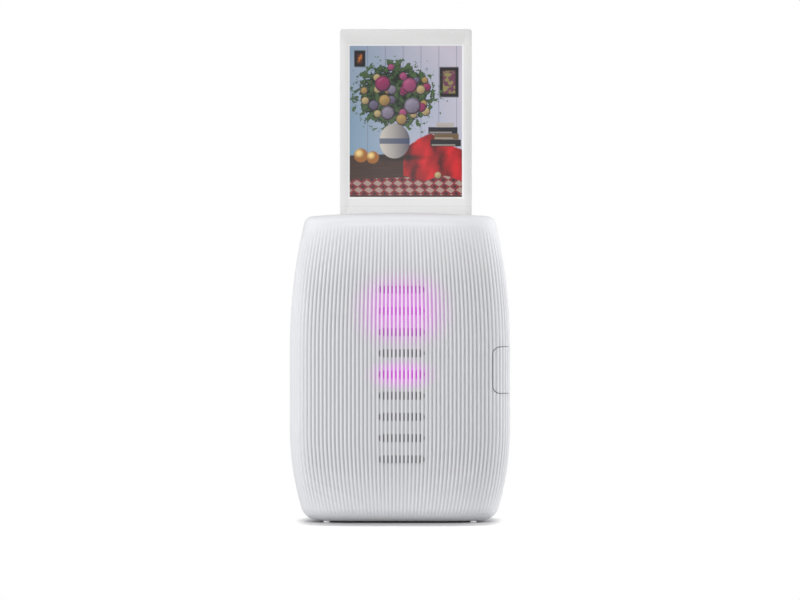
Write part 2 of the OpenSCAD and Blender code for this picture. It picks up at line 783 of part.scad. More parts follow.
// ---- Rollers and gears ----
gear_fit = 0.3;
layer1_x1 = chassis_x0 - gear_fit;
layer1_x0 = layer1_x1 - gear_w;
layer2_x1 = layer1_x0 - gear_fit;
layer2_x0 = layer2_x1 - gear_w;
roller_teeth = 2 * round(roller_dy / gear_module);
roller_gear_module = 2 * roller_dy / roller_teeth;
idler_teeth = 24;
small_teeth = 12;
large_teeth = 26;
pinion_teeth = 10;
gear_pin_r = 0.8;
motor_shaft_r = 0.5;
idler_reach = roller_gear_module * (roller_teeth + idler_teeth) / 2;
small_reach = roller_gear_module * (idler_teeth + small_teeth) / 2;
pinion_reach = gear_module * (large_teeth + pinion_teeth) / 2;
idler_y = drive_y;
idler_z = roller_z - idler_reach;
reduction_turn = 11;
reduction_y = idler_y - small_reach * sin(reduction_turn);
reduction_z = idler_z - small_reach * cos(reduction_turn);
motor_turn = 22;
motor_y = reduction_y - pinion_reach * sin(motor_turn);
motor_z = reduction_z - pinion_reach * cos(motor_turn);
gear_pin_spots = [[idler_y, idler_z], [reduction_y, reduction_z]];

// Involute gear about Z with its middle tooth turned to the angle turn; h is the width
pressure_angle = 20;
addendum = 0.8;
dedendum = 1.05;
tooth_play = 0.07;
flank_points = 4;
function involute(base_r, a) = base_r * [cos(a) + a * PI / 180 * sin(a), sin(a) - a * PI / 180 * cos(a)];
function involute_angle(base_r, r) = r <= base_r ? 0 : sqrt(r * r / (base_r * base_r) - 1) * 180 / PI;
function polar(p) = atan2(p[1], p[0]);
module gear(m, teeth, h, turn, bore_r = 0) {
    pitch_r = m * teeth / 2;
    base_r = pitch_r * cos(pressure_angle);
    tip_r = pitch_r + addendum * m;
    root_r = pitch_r - dedendum * m;
    low_r = max(base_r, root_r + 0.02);
    pitch_polar = polar(involute(base_r, involute_angle(base_r, pitch_r)));
    half = 90 / teeth - tooth_play * 180 / PI / pitch_r + pitch_polar;
    flank = [for (k = [0 : flank_points])
        let (r = low_r + (tip_r - low_r) * k / flank_points)
        [r, polar(involute(base_r, involute_angle(base_r, r))) - half]];
    tooth = concat([[root_r, -half]], flank,
        [for (k = [flank_points : -1 : 0]) [flank[k][0], -flank[k][1]]], [[root_r, half]]);
    difference() {
        linear_extrude(h) polygon([for (i = [0 : teeth - 1], p = tooth)
            let (a = turn + 360 * i / teeth + p[1]) [p[0] * cos(a), p[0] * sin(a)]]);
        if (bore_r > 0) translate([0, 0, -eps]) cylinder(h = h + 2 * eps, r = bore_r);
    }
}
// Stands a gear on the X axis at x0, at y and z; a turn of 0 points along +Y, 90 along +Z
module gear_at(x0, y, z) {
    translate([x0, y, z]) rotate([90, 0, 90]) children();
}
// Turn that puts a gap of a driven gear opposite a tooth of its driver, the driver lying at angle a
function meshed(a, teeth, driver_teeth, driver_turn) =
    a + 180 / teeth - (driver_turn - a - 180) * driver_teeth / teeth;
roller_turn = 0;
pinch_turn = meshed(180, roller_teeth, roller_teeth, roller_turn);
idler_turn = meshed(90, idler_teeth, roller_teeth, roller_turn);
small_turn = meshed(90 - reduction_turn, small_teeth, idler_teeth, idler_turn);
large_turn = small_turn;
pinion_turn = meshed(90 - motor_turn, pinion_teeth, large_teeth, large_turn);
module roller(y, turn) {
    rod_x(roller_x0, roller_x1, y, roller_z, roller_r);
    rod_x(layer1_x0, right_bracket_x + bracket_t, y, roller_z, shaft_r);
    gear_at(layer1_x0, y, roller_z) gear(roller_gear_module, roller_teeth, gear_w, turn);
}
module drive_roller() {
    color("silver") roller(drive_y, roller_turn);
}
module pinch_roller() {
    color("silver") roller(pinch_y, pinch_turn);
}
module bush(x0, y) {
    difference() {
        union() {
            rod_x(x0, x0 + bracket_t, y, roller_z, bush_r);
            rod_x(x0 + bracket_t, x0 + bracket_t + bush_collar, y, roller_z, bush_r + bush_lip);
        }
        rod_x(x0 - eps, x0 + far, y, roller_z, shaft_r + pin_fit);
    }
}
module roller_bushes() {
    color("white") for (y = [drive_y, pinch_y]) {
        bush(chassis_x0, y);
        translate([2 * right_bracket_x + bracket_t, 0, 0]) mirror([1, 0, 0]) bush(right_bracket_x, y);
    }
}
module idler_gear() {
    color("white") gear_at(layer1_x0, idler_y, idler_z)
        gear(roller_gear_module, idler_teeth, gear_w, idler_turn, gear_pin_r + pin_fit);
}
module reduction_gear() {
    color("white") {
        gear_at(layer1_x0 - gear_fit - eps, reduction_y, reduction_z)
            gear(roller_gear_module, small_teeth, gear_w + gear_fit + eps, small_turn, gear_pin_r + pin_fit);
        gear_at(layer2_x0, reduction_y, reduction_z)
            gear(gear_module, large_teeth, gear_w, large_turn, gear_pin_r + pin_fit);
    }
}
module motor_pinion() {
    color("goldenrod") gear_at(layer2_x0, motor_y, motor_z)
        gear(gear_module, pinion_teeth, gear_w, pinion_turn);
    color("silver") rod_x(layer2_x0, motor_x0 + 2, motor_y, motor_z, motor_shaft_r);
}
module gear_pins() {
    color("silver") {
        rod_x(layer1_x0 - 0.6, chassis_x0 + chassis_wall, idler_y, idler_z, gear_pin_r);
        rod_x(layer2_x0 - 0.6, chassis_x0 + chassis_wall, reduction_y, reduction_z, gear_pin_r);
    }
}
motor_x0 = chassis_x0 + chassis_wall + 0.4;
motor_case_r = 5.5;
motor_r = min(motor_case_r, plate_y0 - motor_y - seat_gap);
motor_l = 18;
module drive_motor() {
    color("silver") difference() {
        rod_x(motor_x0, motor_x0 + motor_l, motor_y, motor_z, motor_r);
        rod_x(motor_x0 - eps, motor_x0 + 3, motor_y, motor_z, motor_shaft_r + pin_fit);
    }
}
// Springs that press the pinch roller's bushes towards the print
module pinch_springs() {
    color("silver") for (x = [chassis_x0 + bracket_t + pinch_spring_off, right_bracket_x - pinch_spring_off])
        translate([x, pinch_spring_y, roller_z]) rotate([-90, 0, 0])
            coil(pinch_spring_r, pinch_wire_r, 4, pinch_spring_l);
}
// Felt strips that keep light out of the exit slot
felt_t = slot_t / 2 - film_t / 2 - nip_gap;
felt_off = (slot_t / 2 + film_t / 2 + nip_gap) / 2;
felt_drop = 0.8;
felt_h = 1.2;
module slot_felts() {
    color("black") for (side = [-1, 1])
        translate([film_x - film_w / 2, film_y + side * felt_off - felt_t / 2, body_h - wall - felt_drop])
            cube([film_w, felt_t, felt_h]);
}

// ---- Film claw ----
module film_claw() {
    color("silver") {
        box(claw_x - claw_w / 2, claw_x + claw_w / 2, plate_y0 - 0.6, plate_y1, claw_low, claw_low + claw_l);
        box(claw_x - claw_shoe_w / 2, claw_x + claw_shoe_w / 2, plate_y0 - claw_shoe_t, plate_y0 - 0.1,
            claw_low + claw_shoe, claw_shoe_z1);
    }
}
// Return spring between the claw's shoe and a lug of the chassis
module claw_spring() {
    color("silver") translate([claw_x, plate_y0 - 0.75 - claw_spring_r - claw_wire_r, claw_shoe_z1 + 0.05])
        coil(claw_spring_r, claw_wire_r, 7, claw_spring_l - 0.1);
}

// ---- Electronics ----
main_x0 = -battery_w / 2 - 2;
main_x1 = bay_x0 - 3.4;
main_z0 = port_low - 3;
main_z1 = motor_z - motor_r - 3;
module main_board() {
    color("darkgreen") box(main_x0, main_x1, board_y0, board_y1, main_z0, main_z1);
}
chip_w = 10;
small_chip_w = 7;
resistor_w = 1.4;
capacitor_r = 1.9;
capacitor_h = 2.6;
// A square part on the front of the main board, its lower left corner at x and z
module chip(x, z, w, h) {
    box(x, x + w, board_y0 - h, board_y0, z, z + w);
}
module board_parts() {
    color("dimgray") {
        chip(main_x0 + 19, main_z0 + 8, chip_w, 1.2);
        chip(main_x0 + 33, main_z0 + 5, small_chip_w, 1);
        chip(main_x0 + 4, main_z1 - 12, chip_w, 1.6);
        for (k = [0 : 4]) chip(main_x0 + 43 + 2.4 * k, main_z1 - 6, resistor_w, 0.8);
        for (k = [0 : 2])
            rod_y(board_y0 - capacitor_h, board_y0, main_x0 + 35 + 5 * k, main_z1 - 11, capacitor_r);
    }
}
usb_wall = 0.3;
usb_back = 1;
usb_tongue_t = 0.7;
usb_tongue_w = 6;
module usb_socket() {
    color("silver") translate([bay_x1 - usb_l, usb_y, usb_z]) rotate([90, 0, 90]) difference() {
        linear_extrude(usb_l) rotate(90) capsule(usb_w, usb_t);
        translate([0, 0, usb_back]) linear_extrude(usb_l)
            rotate(90) capsule(usb_w - 2 * usb_wall, usb_t - 2 * usb_wall);
    }
    color("black") box(bay_x1 - usb_l + usb_back - eps, bay_x1 - usb_back, usb_y - usb_tongue_t / 2,
        usb_y + usb_tongue_t / 2, usb_z - usb_tongue_w / 2, usb_z + usb_tongue_w / 2);
}
battery_low = main_z0 - 3.5 - battery_h;
battery_y1 = led_board_y1 + battery_space + battery_t;
module battery() {
    color("silver")
        box(-battery_w / 2, battery_w / 2, battery_y1 - battery_t, battery_y1,
            battery_low, battery_low + battery_h);
}

// ---- Film pack and print ----
stack_t = 5;
module pack_case() {
    color("black") difference() {
        translate([0, 0, pack_z]) linear_extrude(pack_l) polygon([
            [pack_x0, pack_y0],
            [pack_x1, pack_y0],
            [pack_x1, pack_y1 - pack_bevel],
            [pack_x1 - pack_bevel, pack_y1],
            [pack_x0 + pack_bevel, pack_y1],
            [pack_x0, pack_y1 - pack_bevel]
        ]);
        box(pack_x0 + pack_wall, pack_x1 - pack_wall, pack_y0 + pack_wall, pack_y1 - pack_wall,
            pack_z + pack_wall, pack_z1 - pack_wall);
        box(window_x0, window_x1, -far, pack_y0 + pack_wall + eps, pack_z + 32, pack_z1 - 9);
        box(film_x - film_w / 2 - 0.5, film_x + film_w / 2 + 0.5, film_y - film_t / 2 - seat_gap,
            film_y + film_t / 2 + seat_gap, pack_z1 - pack_wall - eps, far);
        translate([film_x, 0, window_z]) prism_y(pack_y1 - pack_wall - eps, far)
            rotate(90) capsule(window_h, window_w);
    }
}
stack_y0 = film_y + film_t / 2 + seat_gap;
module film_stack() {
    color("ivory") box(film_x - film_w / 2, film_x + film_w / 2, stack_y0, stack_y0 + stack_t,
        pack_z + pack_wall + seat_gap, pack_z + pack_wall + seat_gap + film_l);
}
// Bowed leaf that presses the stack forward
module pack_spring() {
    y0 = stack_y0 + stack_t;
    bow_h = pack_y1 - pack_wall - y0;
    bow_l = 60;
    half = bow_l / 2;
    leaf_t = 0.3;
    rise = bow_h - leaf_t;
    leaf_r = (half * half + rise * rise) / (2 * rise);
    color("silver") intersection() {
        translate([film_x - 10, y0 + bow_h - leaf_r, pack_z + pack_l / 2]) rotate([0, 90, 0])
            difference() {
                cylinder(h = 20, r = leaf_r, $fn = 128);
                translate([0, 0, -eps]) cylinder(h = 20 + 2 * eps, r = leaf_r - leaf_t, $fn = 128);
            }
        box(film_x - 11, film_x + 11, y0, far, pack_z + pack_l / 2 - half, pack_z + pack_l / 2 + half);
    }
}
module film_sheet() {
    color("white") box(film_x - film_w / 2, film_x + film_w / 2, film_y - film_t / 2, film_y + film_t / 2,
        film_low_z, film_low_z + film_l);
}

front_shell();
rear_shell();
film_door();
door_hinge_pin();
door_seal();
pack_window();
pressure_pads();
door_latch();
latch_spring();
port_cover();
port_cover_pin();
feet();
shell_screws();
power_button();
function_button();
reset_button();
button_board();
button_switches();
reset_switch();
light_guide();
led_board();
leds();
chassis();
chassis_screws();
print_head();
lens_array();
head_ribbon();
drive_roller();
pinch_roller();
roller_bushes();
pinch_springs();
slot_felts();
film_claw();
claw_spring();
idler_gear();
reduction_gear();
motor_pinion();
drive_motor();
gear_pins();
main_board();
board_parts();
usb_socket();
battery();
pack_case();
film_stack();
pack_spring();
film_sheet();
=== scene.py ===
# Looks of a compact instant printer: its fluted casing, print, finishes, lights and floor.
import json
import math

import bmesh
import bpy
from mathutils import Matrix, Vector


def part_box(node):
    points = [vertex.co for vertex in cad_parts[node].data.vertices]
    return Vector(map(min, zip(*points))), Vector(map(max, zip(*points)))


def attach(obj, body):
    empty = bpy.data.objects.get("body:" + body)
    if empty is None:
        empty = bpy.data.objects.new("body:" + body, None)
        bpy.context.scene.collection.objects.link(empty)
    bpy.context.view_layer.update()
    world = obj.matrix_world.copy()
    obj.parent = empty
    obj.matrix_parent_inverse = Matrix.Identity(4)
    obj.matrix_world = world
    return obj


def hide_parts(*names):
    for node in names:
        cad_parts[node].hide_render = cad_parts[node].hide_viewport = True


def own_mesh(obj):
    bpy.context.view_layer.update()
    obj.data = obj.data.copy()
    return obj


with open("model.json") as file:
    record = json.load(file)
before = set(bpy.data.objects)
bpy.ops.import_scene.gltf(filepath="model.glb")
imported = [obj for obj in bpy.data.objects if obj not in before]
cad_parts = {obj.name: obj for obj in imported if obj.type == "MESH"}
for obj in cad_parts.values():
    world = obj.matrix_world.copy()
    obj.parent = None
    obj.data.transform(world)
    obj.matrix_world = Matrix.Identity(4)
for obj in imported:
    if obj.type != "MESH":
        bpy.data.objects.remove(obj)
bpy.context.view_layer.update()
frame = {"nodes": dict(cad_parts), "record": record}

MM = 0.001

# ---------------------------------------------------------------- sizes, in metres
SHELL_LOW, SHELL_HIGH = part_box("front_shell")
BODY_HALF_W = SHELL_HIGH[0]
BODY_HALF_D = -SHELL_LOW[1]
BODY_TOP = SHELL_HIGH[2]
BODY_BASE = SHELL_LOW[2]
# The casing's sides are upright between these two heights and curve in above and below them, the
# front and back by this share of it; its section is a squarish oval of this power
FLANK_LOW = 38 * MM
FLANK_HIGH = 70 * MM
UPPER_ARC_R = 245 * MM
LOWER_ARC_R = 112 * MM
DEPTH_SHARE = 0.2
SECTION_POWER = 4
# Roundings: the front and back edges of both ends, the side corners of either end, and the
# crown, which drops towards the sides over a height of this much
EDGE_R = 5.5 * MM
TOP_CORNER_R = 2.5 * MM
BOTTOM_CORNER_R = 5 * MM
CROWN_R = 520 * MM
CROWN_FADE = 20 * MM

# Flutes: their number round the casing, their depth, and the power that makes the crests wider
# than the valleys; the height where they start at either end, and the height over which they
# deepen there
FLUTES = 138
FLUTE_DEPTH = 0.42 * MM
CREST_POWER = 1.3
FLUTE_LOW = 2.5 * MM
FLUTE_RISE_LOW = 24 * MM
FLUTE_HIGH = 121.2 * MM
FLUTE_RISE_HIGH = 26 * MM
# The fluted form's faces: columns in each flute, rows from base to top, the share of the rows that
# closes either end, and the points of the ring that the section is measured on
FLUTE_COLUMNS = 8
SKIN_ROWS = 101
CAP_SHARE = 0.04
RING_POINTS = 720


# ---------------------------------------------------------------- node trees
class Wire:
    """An output socket of a node in a tree, which takes part in Python arithmetic."""

    def __init__(self, tree, socket):
        self.tree = tree
        self.socket = socket

    def math(self, operation, *others, clamp=False):
        values = (self,) + others
        settings = {"operation": operation, "use_clamp": clamp}
        return self.tree.node("ShaderNodeMath", settings, dict(enumerate(values)))

    def __add__(self, other):
        return self.math("ADD", other)

    def __sub__(self, other):
        return self.math("SUBTRACT", other)

    def __mul__(self, other):
        return self.math("MULTIPLY", other)

    def __truediv__(self, other):
        return self.math("DIVIDE", other)

    def __pow__(self, other):
        return self.math("POWER", other)

    def __lt__(self, other):
        return self.math("LESS_THAN", other)

    def __gt__(self, other):
        return self.math("GREATER_THAN", other)

    def __abs__(self):
        return self.math("ABSOLUTE")

    def __rsub__(self, other):
        return self.tree.node("ShaderNodeMath", {"operation": "SUBTRACT"}, {0: other, 1: self})

    __radd__ = __add__
    __rmul__ = __mul__

    def clamped(self):
        """The value kept between 0 and 1."""
        return self.math("ADD", 0, clamp=True)

    def soft_step(self, low, high):
        """A smooth rise from 0 at one value to 1 at another."""
        settings = {"interpolation_type": "SMOOTHSTEP"}
        return self.tree.node("ShaderNodeMapRange", settings, {0: self, 1: low, 2: high, 3: 0, 4: 1})


class Nodes:
    """Adds nodes to a shader or geometry tree."""

    def __init__(self, group):
        self.group = group

    def node(self, kind, settings=None, inputs=None, output=0):
        """A node with its settings, then the values or links of its sockets; gives one output."""
        made = self.group.nodes.new(kind)
        for name, value in (settings or {}).items():
            if name == "stops":
                self.set_ramp(made.color_ramp, value)
            else:
                setattr(made, name, value)
        for key, value in (inputs or {}).items():
            if isinstance(value, Wire):
                self.group.links.new(value.socket, made.inputs[key])
            else:
                made.inputs[key].default_value = value
        return Wire(self, made.outputs[output]) if made.outputs else made

    def set_ramp(self, ramp, stops):
        while len(ramp.elements) < len(stops):
            ramp.elements.new(1)
        for element, (place, colour) in zip(ramp.elements, stops):
            element.position = place
            element.color = (*colour, 1)

    def mix(self, factor, a, b):
        """Mixes two colours."""
        made = self.group.nodes.new("ShaderNodeMix")
        made.data_type = "RGBA"
        for place, value in ((0, factor), (6, a), (7, b)):
            if isinstance(value, Wire):
                self.group.links.new(value.socket, made.inputs[place])
            elif place == 0:
                made.inputs[place].default_value = value
            else:
                made.inputs[place].default_value = (*value, 1)
        return Wire(self, made.outputs[2])

    def noise(self, scale, detail=3, roughness=0.5, vector=None):
        inputs = {"Vector": vector or self.place(), "Scale": scale, "Detail": detail,
                  "Roughness": roughness}
        return self.node("ShaderNodeTexNoise", {}, inputs)

    def place(self):
        """Object coordinates."""
        return self.node("ShaderNodeTexCoord", output="Object")

    def axes(self, vector=None):
        """The X, Y and Z of a vector, or of the place."""
        split = self.node("ShaderNodeSeparateXYZ", {}, {0: vector or self.place()})
        outputs = split.socket.node.outputs
        return [Wire(self, outputs[k]) for k in range(3)]


# ---------------------------------------------------------------- objects and meshes
# Points this near to each other are one, in a CAD node's triangles and in the fluted form
SAME_POINT = 1e-7
SAME_SKIN_POINT = 1e-6


def new_object(name, mesh):
    made = bpy.data.objects.new(name, mesh)
    bpy.context.scene.collection.objects.link(made)
    return made


def form_object(name, form):
    """An object with the faces of a bmesh, which this frees."""
    mesh = bpy.data.meshes.new(name)
    form.to_mesh(mesh)
    form.free()
    return new_object(name, mesh)


def cad_copy(node):
    """A copy of a CAD node's object with its loose triangles merged."""
    form = bmesh.new()
    form.from_mesh(frame["nodes"][node].data)
    bmesh.ops.remove_doubles(form, verts=form.verts, dist=SAME_POINT)
    return form_object(node + "_visual", form)


def bake_modifiers(made):
    """Turns an object's modifiers into its plain mesh."""
    depsgraph = bpy.context.evaluated_depsgraph_get()
    mesh = bpy.data.meshes.new_from_object(made.evaluated_get(depsgraph))
    made.modifiers.clear()
    old = made.data
    made.data = mesh
    bpy.data.meshes.remove(old)
    return made


def combine(first, second, operation, keep_second=False):
    """Intersects, joins or cuts the first solid with the second one."""
    cut = first.modifiers.new("combine", "BOOLEAN")
    cut.operation = operation
    cut.solver = "MANIFOLD"
    cut.object = second
    bake_modifiers(first)
    if not keep_second:
        bpy.data.objects.remove(second)
    return first


# ---------------------------------------------------------------- geometry trees
def start_tree(name, sizes):
    """A geometry tree with named inputs: the maker of its nodes, and the inputs by name."""
    group = bpy.data.node_groups.new(name, "GeometryNodeTree")
    group.interface.new_socket("Geometry", in_out="OUTPUT", socket_type="NodeSocketGeometry")
    for label, kind, value in sizes:
        socket = group.interface.new_socket(label, in_out="INPUT", socket_type="NodeSocket" + kind)
        socket.default_value = value
    tree = Nodes(group)
    entry = group.nodes.new("NodeGroupInput")
    return tree, {label: Wire(tree, entry.outputs[label]) for label, _, _ in sizes}


def end_tree(tree, form):
    """Ends a geometry tree with real faces and an empty Set Material node; gives its group."""
    form = tree.node("GeometryNodeRealizeInstances", {}, {0: form})
    form = tree.node("GeometryNodeSetMaterial", {}, {"Geometry": form})
    leave = tree.group.nodes.new("NodeGroupOutput")
    tree.group.links.new(form.socket, leave.inputs[0])
    return tree.group


def grown_object(name, group):
    """An object whose plain mesh a geometry tree gives."""
    made = new_object(name, bpy.data.meshes.new(name))
    made.modifiers.new("tree", "NODES").node_group = group
    return bake_modifiers(made)


# ---------------------------------------------------------------- the casing's outer form
def flank_bow(z):
    """How far the casing's sides curve in at a height."""
    upper = (z - FLANK_HIGH).math("MAXIMUM", 0)
    lower = (FLANK_LOW - z).math("MAXIMUM", 0)
    return arc_drop(UPPER_ARC_R, upper) + arc_drop(LOWER_ARC_R, lower)


def arc_drop(radius, away):
    """How far a circle's edge falls, this far from its top."""
    return radius - (radius * radius - away * away).math("SQRT")


def corner_drop(radius, edge):
    """How far a rounded edge of a radius draws in, this far from the end face."""
    away = (radius - edge).math("MAXIMUM", 0).math("MINIMUM", radius)
    return arc_drop(radius, away)


def skin_tree():
    """Geometry nodes for the closed outer form of the casing, with its upright flutes."""
    tree, size = start_tree("fluted_skin", (
        ("Flutes", "Int", FLUTES),
        ("Columns", "Int", FLUTES * FLUTE_COLUMNS + 1),
        ("Rows", "Int", SKIN_ROWS),
        ("Depth", "Float", FLUTE_DEPTH),
        ("Half width", "Float", BODY_HALF_W),
        ("Half depth", "Float", BODY_HALF_D),
        ("Base", "Float", BODY_BASE),
        ("Top", "Float", BODY_TOP),
    ))
    grid = tree.node("GeometryNodeMeshGrid", {}, {0: 1, 1: 1, 2: size["Columns"], 3: size["Rows"]})
    across, up, _ = tree.axes(tree.node("GeometryNodeInputPosition"))
    along = across + 0.5
    level = up + 0.5
    unit_x, unit_y, _ = tree.axes(section_unit(tree, size, along))
    climb = ((level - CAP_SHARE) / (1 - 2 * CAP_SHARE)).clamped()
    spread = (level / CAP_SHARE).math("MINIMUM", (1 - level) / CAP_SHARE).clamped()
    span = size["Top"] - size["Base"]
    z = size["Base"] + span * (1 - (climb * math.pi).math("COSINE")) * 0.5
    from_top = size["Top"] - z
    from_base = z - size["Base"]
    bow = flank_bow(z)
    ends = corner_drop(BOTTOM_CORNER_R, from_base) + corner_drop(TOP_CORNER_R, from_top)
    half_w = size["Half width"] - bow - ends
    edges = corner_drop(EDGE_R, from_base) + corner_drop(EDGE_R, from_top)
    half_d = size["Half depth"] - bow * DEPTH_SHARE - edges
    sink = size["Depth"] * flute_depth(along * size["Flutes"], z)
    normal_x = unit_x ** (SECTION_POWER - 1) / half_w
    normal_y = unit_y ** (SECTION_POWER - 1) / half_d
    length = (normal_x * normal_x + normal_y * normal_y).math("SQRT")
    x = (half_w * unit_x - sink * normal_x / length) * spread
    y = (half_d * unit_y - sink * normal_y / length) * spread
    fade = ((z - size["Top"] + CROWN_FADE) / CROWN_FADE).clamped()
    drop = fade * x * x / (2 * CROWN_R)
    place = tree.node("ShaderNodeCombineXYZ", {}, {0: x, 1: y, 2: z - drop})
    skin = tree.node("GeometryNodeSetPosition", {}, {"Geometry": grid, "Position": place})
    inputs = {"Geometry": skin, "Distance": SAME_SKIN_POINT}
    return end_tree(tree, tree.node("GeometryNodeMergeByDistance", {}, inputs))


def section_unit(tree, size, along):
    """Points at equal steps round the section, on a section one unit wide and deep."""
    inputs = {"Resolution": RING_POINTS, "Radius": 1}
    ring = tree.node("GeometryNodeCurvePrimitiveCircle", {}, inputs)
    circle_x, circle_y, _ = tree.axes(tree.node("GeometryNodeInputPosition"))
    share = 2 / SECTION_POWER
    x = circle_x.math("SIGN") * abs(circle_x) ** share * size["Half width"]
    y = circle_y.math("SIGN") * abs(circle_y) ** share * size["Half depth"]
    place = tree.node("ShaderNodeCombineXYZ", {}, {0: x, 1: y})
    ring = tree.node("GeometryNodeSetPosition", {}, {"Geometry": ring, "Position": place})
    settings = {"mode": "FACTOR", "use_all_curves": True}
    inputs = {"Curves": ring, "Factor": along}
    point = tree.node("GeometryNodeSampleCurve", settings, inputs, output="Position")
    point_x, point_y, _ = tree.axes(point)
    unit = {0: point_x / size["Half width"], 1: point_y / size["Half depth"]}
    return tree.node("ShaderNodeCombineXYZ", {}, unit)


def flute_depth(turns, z):
    """Share of the flutes' full depth: soft waves, wider on the crests, fading at both ends."""
    off_crest = 1 - abs(turns.math("FRACT") - 0.5) * 2
    wave = (1 - (off_crest * math.pi).math("COSINE")) / 2
    rib = wave.math("MAXIMUM", 0) ** CREST_POWER
    low = ((z - FLUTE_LOW) / FLUTE_RISE_LOW).clamped() ** 0.5
    high = ((FLUTE_HIGH - z) / FLUTE_RISE_HIGH).clamped() ** 0.5
    return rib * low * high


def arc(radius, away):
    """The same as arc_drop, for plain numbers."""
    return radius - math.sqrt(radius ** 2 - away ** 2)


def section_size(z):
    """Half width and half depth of the casing's smooth form at a height."""
    bow = arc(UPPER_ARC_R, max(z - FLANK_HIGH, 0)) + arc(LOWER_ARC_R, max(FLANK_LOW - z, 0))

    def drawn_in(radius, edge):
        return arc(radius, min(max(radius - edge, 0), radius))

    base = z - BODY_BASE
    top = BODY_TOP - z
    half_w = BODY_HALF_W - bow - drawn_in(BOTTOM_CORNER_R, base) - drawn_in(TOP_CORNER_R, top)
    half_d = BODY_HALF_D - bow * DEPTH_SHARE - drawn_in(EDGE_R, base) - drawn_in(EDGE_R, top)
    return half_w, half_d


# How near to the casing's surface a point counts as lying on it, how far such points are pushed
# out, and the share of the casing's size within which no point is on its sides
SKIN_BAND = 0.5 * MM
SKIN_PUSH = 0.8 * MM
INNER_SHARE = 0.3
# Passes that find the level a point had before the crown's drop
LEVEL_PASSES = 6
# A point deeper than this many times the flutes' depth is on an inner face
GROOVE_END = 1.15
# The least slope, which keeps points on the casing's axis from dividing by nothing
LEAST_SLOPE = 1e-12


def skin_place(point):
    """A point's depth below the casing's smooth side, the way out there, and its depth below the
    crown."""
    x, y, z = point
    level = z
    for _ in range(LEVEL_PASSES):
        fade = min(max((level - BODY_TOP + CROWN_FADE) / CROWN_FADE, 0), 1)
        level = z + fade * x * x / (2 * CROWN_R)
    half_w, half_d = section_size(min(max(level, BODY_BASE), BODY_TOP))
    unit_x = abs(x) / half_w
    unit_y = abs(y) / half_d
    reach = (unit_x ** SECTION_POWER + unit_y ** SECTION_POWER) ** (1 / SECTION_POWER)
    slope_x = unit_x ** (SECTION_POWER - 1) / half_w
    slope_y = unit_y ** (SECTION_POWER - 1) / half_d
    slope = max(math.hypot(slope_x, slope_y), LEAST_SLOPE)
    away = (1 - reach) * reach ** (SECTION_POWER - 1) / slope if reach > INNER_SHARE else 1
    outward = (math.copysign(slope_x / slope, x), math.copysign(slope_y / slope, y))
    return away, outward, BODY_TOP - level


def push_skin(made):
    """Moves a casing part's outer faces outwards, so that the fluted form alone sets its surface."""
    for vertex in made.data.vertices:
        x, y, z = vertex.co
        away, outward, from_top = skin_place(vertex.co)
        from_base = z - BODY_BASE
        if away < SKIN_BAND:
            x += outward[0] * SKIN_PUSH
            y += outward[1] * SKIN_PUSH
        edge_band = EDGE_R if away < SKIN_BAND else SKIN_BAND
        if from_top < edge_band:
            z += SKIN_PUSH
        if from_base < edge_band:
            z -= SKIN_PUSH
        vertex.co = (x, y, z)
    return made


def mark_grooves(made):
    """Writes how deep each point lies in a flute's valley, from 0 on the crests to 1."""
    groove = made.data.attributes.new("groove", "FLOAT", "POINT")
    for vertex in made.data.vertices:
        depth = skin_place(vertex.co)[0] / FLUTE_DEPTH
        groove.data[vertex.index].value = depth if 0 < depth < GROOVE_END else 0
    return made


def shade(made, angle=35):
    """Smooth shading, with sharp edges where faces meet at more than an angle."""
    form = bmesh.new()
    form.from_mesh(made.data)
    for face in form.faces:
        face.smooth = True
    for edge in form.edges:
        edge.smooth = len(edge.link_faces) == 2 and edge.calc_face_angle(0) < math.radians(angle)
    form.to_mesh(made.data)
    form.free()
    return made


# The upright hinge of the film door, whose barrel stands out of the casing's corner
PIN_LOW, PIN_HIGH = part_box("door_hinge_pin")
HINGE_X = (PIN_LOW[0] + PIN_HIGH[0]) / 2
HINGE_Y = (PIN_LOW[1] + PIN_HIGH[1]) / 2
BARREL_R = 1.56 * MM
BARREL_SIDES = 64
BARREL_PARTS = ("front_shell", "rear_shell", "film_door")


def hinge_barrel(node):
    """The part of a node that lies in the hinge's barrel."""
    low, high = PIN_LOW[2], PIN_HIGH[2]
    form = bmesh.new()
    barrel = bmesh.ops.create_cone(form, cap_ends=True, segments=BARREL_SIDES, radius1=BARREL_R,
                                   radius2=BARREL_R, depth=high - low)
    bmesh.ops.translate(form, verts=barrel["verts"], vec=(HINGE_X, HINGE_Y, (low + high) / 2))
    return combine(cad_copy(node), form_object("barrel", form), "INTERSECT")


# Light bars: the light guide's points in front of this depth are on them, and their sides end this
# far behind it; one bar's points follow each other in height more closely than the gap; half
# the length of a bar's straight part; how near to its middle line points stay as they are, and
# how far the others move out to meet the casing
BARS_FRONT = -0.85 * BODY_HALF_D
BAR_SIDES = 1.2 * MM
BAR_GAP = 2.5 * MM
BAR_STRAIGHT = 7.8 * MM
BAR_MIDDLE = 1 * MM
BAR_CLOSE = 0.11 * MM
# Heights are rounded to this many decimals, and compared with this much slack
HEIGHT_DIGITS = 5
HEIGHT_SLACK = 1e-5


